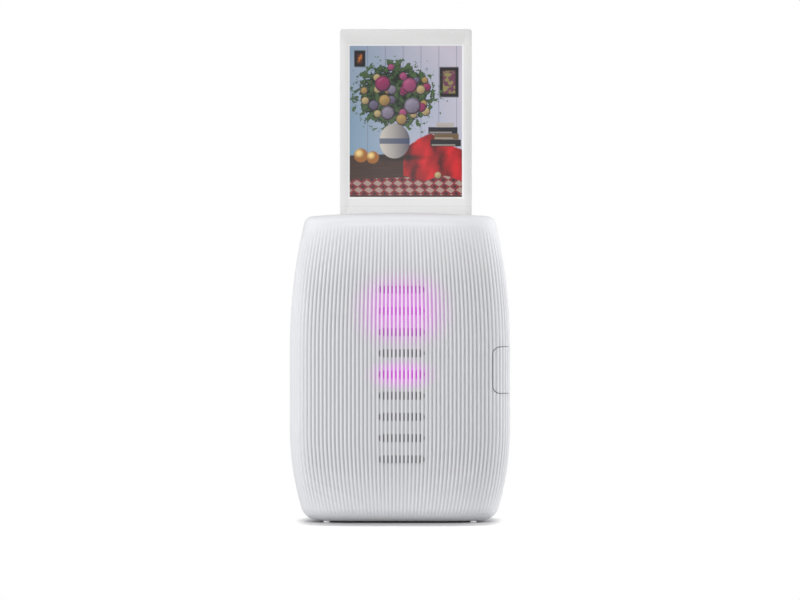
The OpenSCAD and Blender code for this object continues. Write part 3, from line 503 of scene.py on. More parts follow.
def close_bars(made):
    """Grows the light bars' outlines until they meet the casing's openings."""
    heights = sorted({round(vertex.co.z, HEIGHT_DIGITS) for vertex in made.data.vertices
                      if vertex.co.y < BARS_FRONT})
    bars = []
    for z in heights:
        if bars and z - bars[-1][1] < BAR_GAP:
            bars[-1][1] = z
        else:
            bars.append([z, z])
    guide_low, guide_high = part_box("light_guide")
    mid_x = (guide_low[0] + guide_high[0]) / 2
    for vertex in made.data.vertices:
        for low, high in bars:
            level = low - HEIGHT_SLACK <= vertex.co.z <= high + HEIGHT_SLACK
            if level and vertex.co.y < BARS_FRONT + BAR_SIDES:
                off_x = vertex.co.x - mid_x
                over = math.copysign(max(abs(off_x) - BAR_STRAIGHT, 0), off_x)
                up = vertex.co.z - (low + high) / 2
                away = math.hypot(over, up)
                if away > BAR_MIDDLE:
                    vertex.co.x += over / away * BAR_CLOSE
                    vertex.co.z += up / away * BAR_CLOSE
    return made


def fluted_part(node, skin):
    """A casing part whose outer face has the flutes; its inside, holes and seams stay as they are."""
    made = push_skin(cad_copy(node))
    if node == "light_guide":
        close_bars(made)
    combine(made, skin, "INTERSECT", keep_second=True)
    if node in BARREL_PARTS:
        barrel = hinge_barrel(node)
        if len(barrel.data.vertices):
            combine(made, barrel, "UNION")
        else:
            bpy.data.objects.remove(barrel)
    shade(made)
    mark_grooves(made)
    made.name = node + "_fluted"
    return made


# The nodes that make the casing's outside, and the bodies they ride on
CASING_PARTS = {
    "front_shell": "casing",
    "rear_shell": "casing",
    "film_door": "film_door_body",
    "port_cover": "port_cover_body",
    "light_guide": "casing",
}


def make_casing(materials):
    skin = grown_object("fluted_skin", skin_tree())
    for node, body in CASING_PARTS.items():
        made = fluted_part(node, skin)
        dress(made, node, body, materials)
        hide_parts(node)
    bpy.data.objects.remove(skin)


# ---------------------------------------------------------------- finishes
MICRON = 0.001 * MM
BLACK = (0, 0, 0)


def new_material(name):
    """An empty material, and the maker of its nodes."""
    material = bpy.data.materials.new(name)
    material.use_nodes = True
    material.node_tree.nodes.clear()
    return material, Nodes(material.node_tree)


def finish(fixed=None):
    """Turns a function that gives the sockets that vary over a surface into one that makes the
    material; fixed gives the sockets that stay the same all over."""
    def wrap(varying):
        def make():
            material, tree = new_material(varying.__name__)
            sockets = {**(fixed or {}), **varying(tree)}
            surface = tree.node("ShaderNodeBsdfPrincipled", {}, sockets)
            tree.node("ShaderNodeOutputMaterial", {}, {"Surface": surface})
            return material
        return make
    return wrap


def relief(tree, height, depth, strength):
    """A normal bent by a height field, its depth in micrometres."""
    inputs = {"Height": height, "Distance": depth * MICRON, "Strength": strength}
    return tree.node("ShaderNodeBump", {}, inputs)


def shades(tree, low, high, amount):
    """A colour between two shades."""
    return tree.mix(amount.clamped(), low, high)


def stretched(tree, x, y, z):
    """Object coordinates stretched along each axis."""
    return tree.node("ShaderNodeMapping", {}, {"Vector": tree.place(), "Scale": (x, y, z)})


def grained(tree, field, low, high, rough, depth, strength):
    """Sockets of a surface whose two shades, roughness and relief all follow one field; rough
    gives the least roughness and how much the field adds to it."""
    return {"Base Color": shades(tree, low, high, field), "Roughness": rough[0] + field * rough[1],
            "Normal": relief(tree, field, depth, strength)}


def greatest(masks):
    """The greatest of several masks at each place."""
    total = masks[0]
    for mask in masks[1:]:
        total = total.math("MAXIMUM", mask)
    return total


# Level light: middle and half size, across and up, of the two lit spots on the front
GLOWS = (
    ((0.9 * MM, 86.6 * MM), (23.5 * MM, 18.5 * MM)),
    ((0.6 * MM, 60.4 * MM), (16.5 * MM, 7.6 * MM)),
)
# The power of the spots' squarish outline, the share of their half size that is fully lit, and
# the depth behind which they don't show
GLOW_POWER = 2.4
GLOW_CORE = 0.22
GLOW_BACK = -0.4 * BODY_HALF_D
# The level light's colour as it shows on the crests and in the valleys
CREST_GLOW = (0.80, 0.02, 0.72)
VALLEY_GLOW = (0.84, 0.10, 0.92)
# The casing's colour, and the painted shade of its valleys
CASING_COLOUR = (0.835, 0.842, 0.872)
CASING_VALLEY_PAINTED_SHADE = (0.50, 0.505, 0.53)
# Shares of the casing's half width between which the valleys' painted shade fades, so that they
# grow nearly as pale as the crests where the side light falls, and how much of that the right
# side shows
PALE_SIDE = (0.78, 0.94)
PALE_RIGHT = 0.4
# Sockets that stay the same over the casing
CASING_FIXED = {"Emission Strength": 0.4, "IOR": 1.42}


def glow_mask(tree):
    """How strongly the level light shows at a place: two soft spots, on the front alone."""
    x, y, z = tree.axes()
    spots = []
    for (mid_x, mid_z), (half_x, half_z) in GLOWS:
        across = (x - mid_x) / half_x
        up = (z - mid_z) / half_z
        away = (abs(across) ** GLOW_POWER + abs(up) ** GLOW_POWER) ** (1 / GLOW_POWER)
        spots.append(1 - away.soft_step(GLOW_CORE, 1.0))
    return greatest(spots) * (y < GLOW_BACK)


def lamp_rows(tree):
    """The lit rows of lamps on the light board, by height alone."""
    _, _, z = tree.axes()
    return greatest([1 - abs((z - middle[1]) / half[1]).soft_step(0.4, 1.0) for middle, half in GLOWS])


def groove_mask(tree):
    """The depth in the flutes that mark_grooves wrote, from 0 on the crests to 1 in the valleys."""
    return tree.node("ShaderNodeAttribute", {"attribute_name": "groove"}, output="Fac").clamped()


def casing_grain(tree):
    """Fine spark-eroded grain of the casing's plastic, with a few broad waves from moulding."""
    fine = tree.noise(9000, 2, 0.6)
    broad = tree.noise(45, 2, 0.5)
    return fine * 0.7 + broad * 0.3


@finish(CASING_FIXED)
def casing_plastic(tree):
    """Cool white plastic with painted shade in its valleys and a painted glow of the level light."""
    groove = groove_mask(tree)
    cloud = tree.noise(70, 3, 0.55)
    grain = casing_grain(tree)
    body = shades(tree, (0.825, 0.832, 0.862), (0.845, 0.852, 0.882), cloud)
    x, _, _ = tree.axes()
    left = (x / -BODY_HALF_W).soft_step(*PALE_SIDE)
    right = (x / BODY_HALF_W).soft_step(*PALE_SIDE)
    side = left + right * PALE_RIGHT
    # Painted shade in the valleys, with a little noise, fading on the sides where the side light falls
    valley_painted_shade = (groove * 1.25 - 0.2 + (tree.noise(900, 3, 0.6) - 0.5) * 0.15).clamped()
    body = tree.mix(valley_painted_shade * (1 - side * 0.9), body, CASING_VALLEY_PAINTED_SHADE)
    glow = glow_mask(tree)
    # Painted glow: within the level light's spots the valleys are painted magenta, the light's colour
    painted_glow_share = glow * groove.soft_step(0.12, 0.85) * 0.62
    body = tree.mix(painted_glow_share, body, (0.44, 0.03, 0.48))
    shine = tree.mix(groove, CREST_GLOW, VALLEY_GLOW)
    light = tree.mix(glow * (0.46 + groove * 0.40), BLACK, shine)
    rough = 0.25 + grain * 0.10 + groove * 0.2
    return {"Base Color": body, "Roughness": rough, "Emission Color": light,
            "Normal": relief(tree, grain, 10, 0.5)}


@finish(CASING_FIXED)
def light_bar_plastic(tree):
    """The level light's bars: casing-coloured ribs with dark smoky valleys between them."""
    groove = groove_mask(tree)
    grain = casing_grain(tree)
    _, y, _ = tree.axes()
    front = y < -0.8 * BODY_HALF_D
    smoke = groove.soft_step(0.30, 0.85)
    body = tree.mix(smoke, CASING_COLOUR, (0.15, 0.15, 0.16))
    body = tree.mix(1 - front, body, (0.86, 0.86, 0.88))
    glow = glow_mask(tree)
    # Painted glow: within the level light's spots the dark valleys are painted magenta
    painted_glow_share = (glow * smoke).clamped()
    body = tree.mix(painted_glow_share, body, (0.38, 0.02, 0.42))
    shine = tree.mix(smoke, CREST_GLOW, VALLEY_GLOW)
    light = tree.mix(glow * (0.46 + smoke * 0.44), BLACK, shine)
    return {"Base Color": body, "Roughness": 0.25 + grain * 0.15, "Emission Color": light,
            "Normal": relief(tree, grain, 10, 0.5)}


@finish({"IOR": 1.46})
def button_plastic(tree):
    """Grey-white plastic of the side buttons, polished where fingers press."""
    grain = tree.noise(7000, 2, 0.6)
    worn = tree.noise(400, 4, 0.6).soft_step(0.45, 0.8)
    body = shades(tree, (0.70, 0.705, 0.73), (0.76, 0.765, 0.79), worn)
    return {"Base Color": body, "Roughness": 0.46 - worn * 0.12,
            "Normal": relief(tree, grain, 10, 0.5)}


# Noise scales of brushed metal, along its lines and across them
BRUSH_ALONG = 40.0
BRUSH_ACROSS = 2600.0
METAL = {"Metallic": 1.0}


def brushed(tree, along, low, high, rough):
    """Metal with fine lines along one axis."""
    scale = [BRUSH_ALONG if axis == along else BRUSH_ACROSS for axis in range(3)]
    lines = tree.noise(1.0, 4, 0.6, stretched(tree, *scale))
    blotch = tree.noise(180, 3, 0.5)
    body = shades(tree, low, high, lines * 0.6 + blotch * 0.4)
    return {"Base Color": body, "Roughness": rough + lines * 0.18,
            "Normal": relief(tree, lines, 6, 0.6)}


@finish(METAL)
def pressed_steel(tree):
    return brushed(tree, 2, (0.50, 0.50, 0.52), (0.66, 0.66, 0.68), 0.26)


@finish(METAL)
def screw_steel(tree):
    """Blackened steel with fine pits."""
    pits = tree.noise(2500, 3, 0.6)
    return grained(tree, pits, (0.20, 0.20, 0.215), (0.36, 0.36, 0.375), (0.32, 0.2), 8, 0.6)


@finish(METAL)
def ground_steel(tree):
    return brushed(tree, 1, (0.55, 0.56, 0.58), (0.68, 0.69, 0.71), 0.18)


@finish(METAL)
def motor_can(tree):
    return brushed(tree, 0, (0.52, 0.52, 0.54), (0.68, 0.68, 0.70), 0.3)


@finish(METAL)
def socket_shell(tree):
    return brushed(tree, 0, (0.56, 0.56, 0.58), (0.72, 0.72, 0.74), 0.22)


@finish(METAL)
def turned_brass(tree):
    return brushed(tree, 1, (0.60, 0.43, 0.16), (0.76, 0.58, 0.26), 0.2)


@finish()
def foam_rubber(tree):
    """Black open-celled foam of the door's seal."""
    inputs = {"Vector": tree.place(), "Scale": 3200.0, "Randomness": 1.0}
    cells = tree.node("ShaderNodeTexVoronoi", {"feature": "F1"}, inputs)
    return grained(tree, cells, (0.018, 0.018, 0.019), (0.055, 0.055, 0.057), (0.86, 0.1), 50, 0.8)


@finish({"Sheen Weight": 0.3})
def felt_pile(tree):
    """Short black pile of the felts in the print's slot."""
    fibres = tree.noise(1.0, 5, 0.7, stretched(tree, 3500, 3500, 9000))
    return grained(tree, fibres, (0.012, 0.012, 0.013), (0.05, 0.05, 0.052), (0.9, 0.1), 60, 0.9)


@finish({"Coat Weight": 0.6, "IOR": 1.5, "Transmission Weight": 0.25})
def window_plastic(tree):
    """Amber window over the film pack, with fine upright scratches."""
    haze = tree.noise(260, 3, 0.5)
    body = shades(tree, (0.78, 0.58, 0.10), (0.86, 0.66, 0.16), haze)
    scratch = tree.noise(1.0, 3, 0.6, stretched(tree, 900, 900, 120))
    return {"Base Color": body, "Roughness": 0.08 + scratch * 0.12,
            "Normal": relief(tree, scratch, 3, 0.4)}


@finish()
def pad_rubber(tree):
    """Dull black rubber of the pads that press the film pack."""
    grain = tree.noise(1800, 4, 0.65)
    return grained(tree, grain, (0.03, 0.03, 0.031), (0.07, 0.07, 0.072), (0.78, 0.15), 30, 0.7)


@finish({"Emission Strength": 0.45})
def foot_rubber(tree):
    """Milky rubber of the feet, with a painted glow in their own colour standing in for glints."""
    grain = tree.noise(1600, 4, 0.65)
    sockets = grained(tree, grain, (0.74, 0.74, 0.76), (0.86, 0.86, 0.88), (0.6, 0.2), 30, 0.7)
    # Painted glow: the feet give off their own colour as light
    return {**sockets, "Emission Color": sockets["Base Color"]}


# Circuit board: the grid's step, and how many steps one block of tracks has across and up
TRACK_STEP = 0.9 * MM
TRACK_BLOCK = (5, 4)


@finish()
def circuit_board(tree):
    """Green solder mask with paler copper tracks under it, pads and plated holes."""
    x, _, z = tree.axes()
    across = abs((x / TRACK_STEP).math("FRACT") - 0.5)
    up = abs((z / TRACK_STEP).math("FRACT") - 0.5)
    cell_x = (x / (TRACK_STEP * TRACK_BLOCK[0])).math("FLOOR")
    cell_z = (z / (TRACK_STEP * TRACK_BLOCK[1])).math("FLOOR")
    cell = tree.node("ShaderNodeCombineXYZ", {}, {0: cell_x, 1: cell_z})
    pick = tree.node("ShaderNodeTexWhiteNoise", {"noise_dimensions": "2D"}, {"Vector": cell})
    upright = pick > 0.55
    track = (across < 0.16) * upright + (up < 0.16) * (pick < 0.4)
    hole_away = (across * across + up * up).math("SQRT")
    ring = (hole_away < 0.30) * (pick > 0.85)
    hole = (hole_away < 0.13) * (pick > 0.85)
    mask = tree.mix(track.clamped(), (0.010, 0.085, 0.035), (0.022, 0.16, 0.065))
    mask = tree.mix(ring, mask, (0.62, 0.60, 0.55))
    # Painted shade: the holes are painted near-black, standing for the dark inside them
    mask = tree.mix(hole, mask, (0.02, 0.02, 0.02))
    height = (track * 0.5 + ring * 0.8 - hole).clamped()
    return {"Base Color": mask, "Roughness": 0.34 - track * 0.06 - ring * 0.1,
            "Metallic": ring * (1 - hole), "Normal": relief(tree, height, 30, 0.6)}


@finish({"IOR": 1.47})
def black_moulding(tree):
    """Black plastic with a fine grain and a few scuffs."""
    grain = tree.noise(4200, 3, 0.6)
    scuff = tree.noise(160, 4, 0.6).soft_step(0.5, 0.85)
    body = shades(tree, (0.014, 0.014, 0.016), (0.04, 0.04, 0.043), grain * 0.5 + scuff * 0.5)
    return {"Base Color": body, "Roughness": 0.5 + grain * 0.14 - scuff * 0.1,
            "Normal": relief(tree, grain, 25, 0.6)}


@finish({"IOR": 1.47})
def frame_moulding(tree):
    """Dark grey glass-filled plastic of the inner frame and parts, with flow lines."""
    flow = tree.noise(1.0, 4, 0.6, stretched(tree, 130, 130, 30))
    grain = tree.noise(5200, 2, 0.6)
    body = shades(tree, (0.045, 0.045, 0.05), (0.085, 0.085, 0.092), flow)
    return {"Base Color": body, "Roughness": 0.52 + grain * 0.16,
            "Normal": relief(tree, grain * 0.6 + flow * 0.4, 20, 0.6)}


@finish({"IOR": 1.48})
def acetal(tree):
    """Creamy low-friction plastic of the gears and bushes, lightly greased."""
    grain = tree.noise(3000, 3, 0.6)
    grease = tree.noise(260, 4, 0.6).soft_step(0.5, 0.75)
    body = shades(tree, (0.78, 0.765, 0.70), (0.70, 0.68, 0.60), grease)
    return {"Base Color": body, "Roughness": 0.42 - grease * 0.22, "Coat Weight": grease * 0.5,
            "Normal": relief(tree, grain, 10, 0.5)}


@finish({"Emission Strength": 1.4})
def led_package(tree):
    """Creamy lamp bodies, glowing where the level light is on."""
    haze = tree.noise(1200, 2, 0.5)
    body = shades(tree, (0.78, 0.76, 0.70), (0.88, 0.87, 0.80), haze)
    light = tree.mix(lamp_rows(tree), BLACK, (0.85, 0.25, 0.9))
    return {"Base Color": body, "Roughness": 0.3 + haze * 0.1, "Emission Color": light}


ROD_STEP = 0.6 * MM


@finish({"Coat Weight": 0.8, "IOR": 1.52})
def lens_glass(tree):
    """A row of upright glass rods, side by side."""
    x, _, _ = tree.axes()
    rods = ((x / ROD_STEP).math("FRACT") - 0.5) * 2
    ridge = 1 - rods * rods
    # Painted highlight: each rod is paler along its middle than at its sides
    body = shades(tree, (0.16, 0.22, 0.30), (0.50, 0.62, 0.72), ridge)
    return {"Base Color": body, "Roughness": 0.06 + ridge * 0.05,
            "Normal": relief(tree, ridge, 80, 0.7)}


WIRE_STEP = 1.0 * MM


@finish({"Coat Weight": 0.4})
def ribbon_film(tree):
    """Amber flat cable with copper conductors showing through."""
    x, _, _ = tree.axes()
    wire = abs((x / WIRE_STEP).math("FRACT") - 0.5) < 0.27
    haze = tree.noise(300, 3, 0.5)
    body = tree.mix(wire, (0.30, 0.12, 0.03), (0.55, 0.28, 0.09))
    body = tree.mix(haze * 0.3, body, (0.7, 0.4, 0.15))
    return {"Base Color": body, "Roughness": 0.3 + haze * 0.12, "Metallic": wire * 0.35,
            "Normal": relief(tree, wire, 30, 0.6)}


TAPE_WIDTH = 4 * MM


@finish()
def battery_pouch(tree):
    """Crinkled laminate foil with an amber tape across its top end."""
    _, _, z = tree.axes()
    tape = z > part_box("battery")[1][2] - TAPE_WIDTH
    crinkle = tree.noise(240, 5, 0.7)
    body = shades(tree, (0.52, 0.53, 0.55), (0.70, 0.71, 0.73), crinkle)
    body = tree.mix(tape, body, (0.50, 0.27, 0.05))
    return {"Base Color": body, "Roughness": 0.3 + crinkle * 0.2 + tape * 0.1,
            "Metallic": 1 - tape, "Normal": relief(tree, crinkle, 200, 0.7)}


SHEET_STEP = 0.5 * MM


@finish()
def film_card(tree):
    """Edge of the stacked sheets: pale layers."""
    _, y, _ = tree.axes()
    layer = (y / SHEET_STEP).math("FRACT")
    grain = tree.noise(900, 3, 0.5)
    body = shades(tree, (0.55, 0.55, 0.57), (0.88, 0.89, 0.92), layer.soft_step(0.05, 0.25))
    return {"Base Color": body, "Roughness": 0.4 + grain * 0.15,
            "Normal": relief(tree, layer, 50, 0.6)}


# The finish of each material slot
FINISHES = {
    "shell": casing_plastic,
    "trim": button_plastic,
    "steel": pressed_steel,
    "screw_steel": screw_steel,
    "roller_steel": ground_steel,
    "motor_steel": motor_can,
    "socket_steel": socket_shell,
    "foam": foam_rubber,
    "felt": felt_pile,
    "clear": window_plastic,
    "pad_rubber": pad_rubber,
    "foot_rubber": foot_rubber,
    "board": circuit_board,
    "black_plastic": black_moulding,
    "dark_plastic": frame_moulding,
    "white_plastic": acetal,
    "diffuser": light_bar_plastic,
    "led": led_package,
    "lens": lens_glass,
    "ribbon": ribbon_film,
    "brass": turned_brass,
    "battery_foil": battery_pouch,
    "film": film_card,
}
SLOTS = {part["node"]: part["material_slot"] for part in frame["record"]["subparts"]}


def paint(made, material):
    """Gives an object one material alone."""
    made.data.materials.clear()
    made.data.materials.append(material)
    return made


def dress(made, node, body, materials):
    """Gives a piece that stands for a CAD node that node's finish, and rides it on a body."""
    paint(made, materials[SLOTS[node]])
    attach(made, body)


# ---------------------------------------------------------------- the print
PRINT_LOW, PRINT_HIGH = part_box("film_sheet")
PRINT_CORNER = 1.2 * MM
PRINT_BEVEL = 0.04 * MM
# The white frame's width at either side, below and above the picture
FRAME_SIDE = 4.0 * MM
FRAME_FOOT = 17.2 * MM
FRAME_HEAD = 6.9 * MM
# The picture: its edges across and up, its corners, how far it lies below the frame, and its
# width over its height
PICTURE_X = (PRINT_LOW[0] + FRAME_SIDE, PRINT_HIGH[0] - FRAME_SIDE)
PICTURE_Z = (PRINT_LOW[2] + FRAME_FOOT, PRINT_HIGH[2] - FRAME_HEAD)
PICTURE_CORNER = 0.3 * MM
PICTURE_SINK = 0.05 * MM
PICTURE_ASPECT = 0.742
# The frame's fine hatching, and the fold across its foot, drawn as a line of painted shade: how far
HATCH_STEP = 1.0 * MM
FOLD_BELOW = 3.8 * MM
FOLD_WIDTH = 0.35 * MM
# How far behind the print's middle its black back starts
BACK_BEHIND = 0.12 * MM


def outline_solid(name, outline, low, high):
    """A plate with an outline in X and Z, from y = low to y = high."""
    form = bmesh.new()
    front = [form.verts.new((x, low, z)) for x, z in outline]
    face = form.faces.new(front)
    grown = bmesh.ops.extrude_face_region(form, geom=[face])
    moved = [part for part in grown["geom"] if isinstance(part, bmesh.types.BMVert)]
    bmesh.ops.translate(form, verts=moved, vec=(0, high - low, 0))
    bmesh.ops.recalc_face_normals(form, faces=form.faces)
    return form_object(name, form)


def rounded_outline(x0, x1, z0, z1, radius, steps=8):
    """Points round a rectangle with rounded corners."""
    points = []
    corners = ((x1 - radius, z0 + radius, -90), (x1 - radius, z1 - radius, 0),
               (x0 + radius, z1 - radius, 90), (x0 + radius, z0 + radius, 180))
    for x, z, start in corners:
        for k in range(steps + 1):
            turn = math.radians(start + 90 * k / steps)
            points.append((x + radius * math.cos(turn), z + radius * math.sin(turn)))
    return points


def make_print():
    """The instant print: a sheet with rounded corners and a picture just below its frame."""
    outer = rounded_outline(PRINT_LOW[0], PRINT_HIGH[0], PRINT_LOW[2], PRINT_HIGH[2], PRINT_CORNER)
    sheet = outline_solid("instant_print", outer, PRINT_LOW[1], PRINT_HIGH[1])
    inner = rounded_outline(*PICTURE_X, *PICTURE_Z, PICTURE_CORNER, steps=3)
    recess = outline_solid("recess", inner, PRINT_LOW[1] - 1 * MM, PRINT_LOW[1] + PICTURE_SINK)
    combine(sheet, recess, "DIFFERENCE")
    bevel = sheet.modifiers.new("edges", "BEVEL")
    bevel.width = PRINT_BEVEL
    bevel.segments = 2
    bevel.limit_method = "ANGLE"
    bake_modifiers(sheet)
    shade(sheet)
    paint(sheet, print_surface())
    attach(sheet, "film_sheet_body")
    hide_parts("film_sheet")


def inside_box(u, v, left, right, low, high, soft=0.006):
    """A soft-edged rectangle in the picture."""
    across = u.soft_step(left - soft, left + soft) * (1 - u.soft_step(right - soft, right + soft))
    up = v.soft_step(low - soft, low + soft) * (1 - v.soft_step(high - soft, high + soft))
    return across * up


def oval_away(u, v, middle, half):
    """How far a place is from an oval's middle, 1 being its outline."""
    across = (u - middle[0]) / half[0]
    up = (v - middle[1]) / half[1]
    return (across * across + up * up).math("SQRT")


def inside_oval(u, v, middle, half, soft=0.06):
    """A soft-edged oval in the picture."""
    return 1 - oval_away(u, v, middle, half).soft_step(1 - soft, 1 + soft)


def still_life(tree, u, v):
    """The picture: flowers in a bowl, a red cloth, books and a woven runner on a dark table.
    Places in it run from 0 to 1, across as u and up as v."""
    flat = tree.node("ShaderNodeCombineXYZ", {}, {0: u * PICTURE_ASPECT, 1: v})
    scene = picture_wall(tree, u, v, flat)
    scene = picture_table(tree, u, v, flat, scene)
    scene = picture_cloth(tree, u, v, tree.noise(8, 4, 0.6, flat), scene)
    scene = picture_books(tree, u, v, scene)
    scene = picture_leaves(tree, u, v, flat, scene)
    scene = picture_bowl(tree, u, v, scene)
    for layer in BLOSSOMS:
        scene = blossom_layer(tree, flat, scene, *layer)
    scene = picture_fruit(tree, u, v, scene)
    specks = (tree.noise(380, 2, 0.6, flat) - 0.5) * 0.22
    return tree.mix((0.02 + specks).clamped(), scene, (0.80, 0.76, 0.80))


def picture_leaves(tree, u, v, flat, scene):
    """Ragged dark leaves round the flowers."""
    leaf = tree.noise(24, 4, 0.65, flat)
    green = tree.mix(leaf.soft_step(0.42, 0.62), (0.006, 0.014, 0.008), (0.07, 0.13, 0.05))
    inside = 1 - oval_away(u, v, (0.40, 0.67), (0.40, 0.25))
    return tree.mix((leaf + inside * 0.55 - 0.56).soft_step(0.0, 0.03), scene, green)


def picture_bowl(tree, u, v, scene):
    """A pale bowl with a blue band, lit from the left, and its shadow on the table."""
    shadow = inside_oval(u, v, (0.42, 0.262), (0.22, 0.022), 0.5)
    scene = tree.mix(shadow * 0.85, scene, (0.006, 0.004, 0.004))
    turn = ((u - 0.28) / 0.25).clamped()
    bowl = tree.mix(turn, (0.62, 0.58, 0.52), (0.11, 0.10, 0.13))
    band = abs((v - 0.37) / 0.018) < 1
    bowl = tree.mix(band * 0.8, bowl, (0.03, 0.06, 0.14))
    return tree.mix(inside_oval(u, v, (0.40, 0.37), (0.135, 0.115), 0.03), scene, bowl)


# Fruit on the table: middle and half width
FRUIT = (
    ((0.10, 0.275), 0.062),
    ((0.205, 0.262), 0.055),
)


def picture_fruit(tree, u, v, scene):
    """Round golden fruit, each with a light spot at its upper left."""
    for (mid_u, mid_v), size in FRUIT:
        shape = inside_oval(u, v, (mid_u, mid_v), (size, size * PICTURE_ASPECT))
        spot = (mid_u - size * 0.3, mid_v + size * 0.25)
        light = inside_oval(u, v, spot, (size * 0.5, size * 0.35), 0.7)
        scene = tree.mix(shape, scene, tree.mix(light, (0.36, 0.13, 0.02), (0.90, 0.66, 0.26)))
    return scene


# Framed prints on the wall: left, right, lower and upper edge, and their two colours
WALL_FRAMES = (
    (0.80, 0.97, 0.66, 0.86, (0.16, 0.05, 0.10), (0.30, 0.26, 0.10)),
    (0.04, 0.14, 0.86, 0.97, (0.50, 0.16, 0.03), (0.10, 0.03, 0.02)),
)


def picture_wall(tree, u, v, flat):
    """Panelled wall in cool daylight, with two framed prints."""
    light = (u * 0.75 + v * 0.35 + (tree.noise(2.2, 2, 0.5, flat) - 0.5) * 0.7).clamped()
    wall = tree.mix(light, (0.16, 0.32, 0.46), (0.62, 0.58, 0.68))
    panel = abs((u * 6.3).math("FRACT") - 0.5) > 0.475
    wall = tree.mix(panel * 0.45, wall, (0.16, 0.16, 0.26))
    marks = tree.noise(30, 3, 0.6, flat).soft_step(0.45, 0.55)
    for left, right, low, high, dark, pale in WALL_FRAMES:
        edge = inside_box(u, v, left, right, low, high)
        inner = inside_box(u, v, left + 0.03, right - 0.03, low + 0.025, high - 0.025)
        wall = tree.mix(edge, wall, (0.012, 0.010, 0.012))
        wall = tree.mix(inner, wall, tree.mix(marks, dark, pale))
    return wall


def picture_table(tree, u, v, flat, scene):
    """A dark table across the lower third, with a woven runner along its front."""
    mapped = tree.node("ShaderNodeMapping", {}, {"Vector": flat, "Scale": (5, 60, 1)})
    grain = tree.noise(1.0, 4, 0.6, mapped)
    table = tree.mix(grain, (0.008, 0.004, 0.003), (0.085, 0.035, 0.022))
    edge = v - 0.285 - (u - 0.5) * 0.02
    scene = tree.mix(1 - edge.soft_step(-0.004, 0.004), scene, table)
    across = abs((u * 11 + v * 3).math("FRACT") - 0.5)
    up = abs((v * 22).math("FRACT") - 0.5)
    diamond = (across + up).math("FRACT")
    weave = tree.mix(diamond > 0.55, (0.24, 0.02, 0.03), (0.42, 0.30, 0.26))
    weave = tree.mix((across + up) < 0.22, weave, (0.012, 0.012, 0.02))
    band = (1 - (v - 0.115 - u * 0.03).soft_step(-0.004, 0.004)) * (v - 0.012 > 0)
    return tree.mix(band * 0.92, scene, weave)


def picture_cloth(tree, u, v, cloud, scene):
    """A red cloth thrown over the table's right half, with dark folds."""
    fold = (u * 24 + v * 9 + cloud * 4.2).math("SINE") * 0.5 + 0.5
    crease = (u * 61 - v * 23 + cloud * 9).math("SINE") * 0.5 + 0.5
    cloth = tree.mix(fold * 0.75 + crease * 0.25, (0.075, 0.002, 0.004), (0.66, 0.012, 0.018))
    top = v - (0.40 - abs(u - 0.72) * 0.42 + cloud * 0.05)
    low = v - (0.125 + (u * 17).math("SINE") * 0.016)
    across = u.soft_step(0.47, 0.49)
    shape = (1 - top.soft_step(-0.006, 0.006)) * low.soft_step(-0.005, 0.005) * across
    return tree.mix(shape, scene, cloth)


# Books behind the cloth: left, right, lower and upper edge, and colour
BOOKS = (
    (0.72, 0.99, 0.335, 0.380, (0.014, 0.014, 0.018)),
    (0.75, 0.97, 0.380, 0.418, (0.16, 0.10, 0.05)),
    (0.70, 0.96, 0.418, 0.462, (0.010, 0.012, 0.020)),
    (0.77, 0.93, 0.462, 0.492, (0.48, 0.44, 0.42)),
)


def picture_books(tree, u, v, scene):
    """A stack of dark books, each with a pale line of pages along its lower edge."""
    for left, right, low, high, colour in BOOKS:
        scene = tree.mix(inside_box(u, v, left, right, low, high, 0.003), scene, colour)
        pages = inside_box(u, v, left + 0.01, right - 0.05, low + 0.004, low + 0.014, 0.002)
        scene = tree.mix(pages * 0.7, scene, (0.42, 0.38, 0.33))
    return scene


# Layers of round blossoms: scale, offset, share left out, and the ovals that they fill, each with
# its middle and half size
BLOSSOMS = (
    (12.5, (0.31, 0.83), 0.15, (((0.30, 0.68), (0.27, 0.20)), ((0.62, 0.13), (0.10, 0.03)))),
    (9.0, (0.77, 0.19), 0.15, (((0.30, 0.66), (0.26, 0.18)),)),
    (6.3, (0.13, 0.41), 0.22, (((0.30, 0.69), (0.24, 0.17)),)),
)
# Colours of the blossoms, each from this share of them on: two golds, two pinks and two lilacs
BLOSSOM_COLOURS = (
    (0.0, (0.62, 0.40, 0.12)),
    (0.26, (0.74, 0.58, 0.26)),
    (0.42, (0.46, 0.045, 0.17)),
    (0.60, (0.56, 0.11, 0.26)),
    (0.74, (0.20, 0.19, 0.29)),
    (0.88, (0.36, 0.33, 0.44)),
)


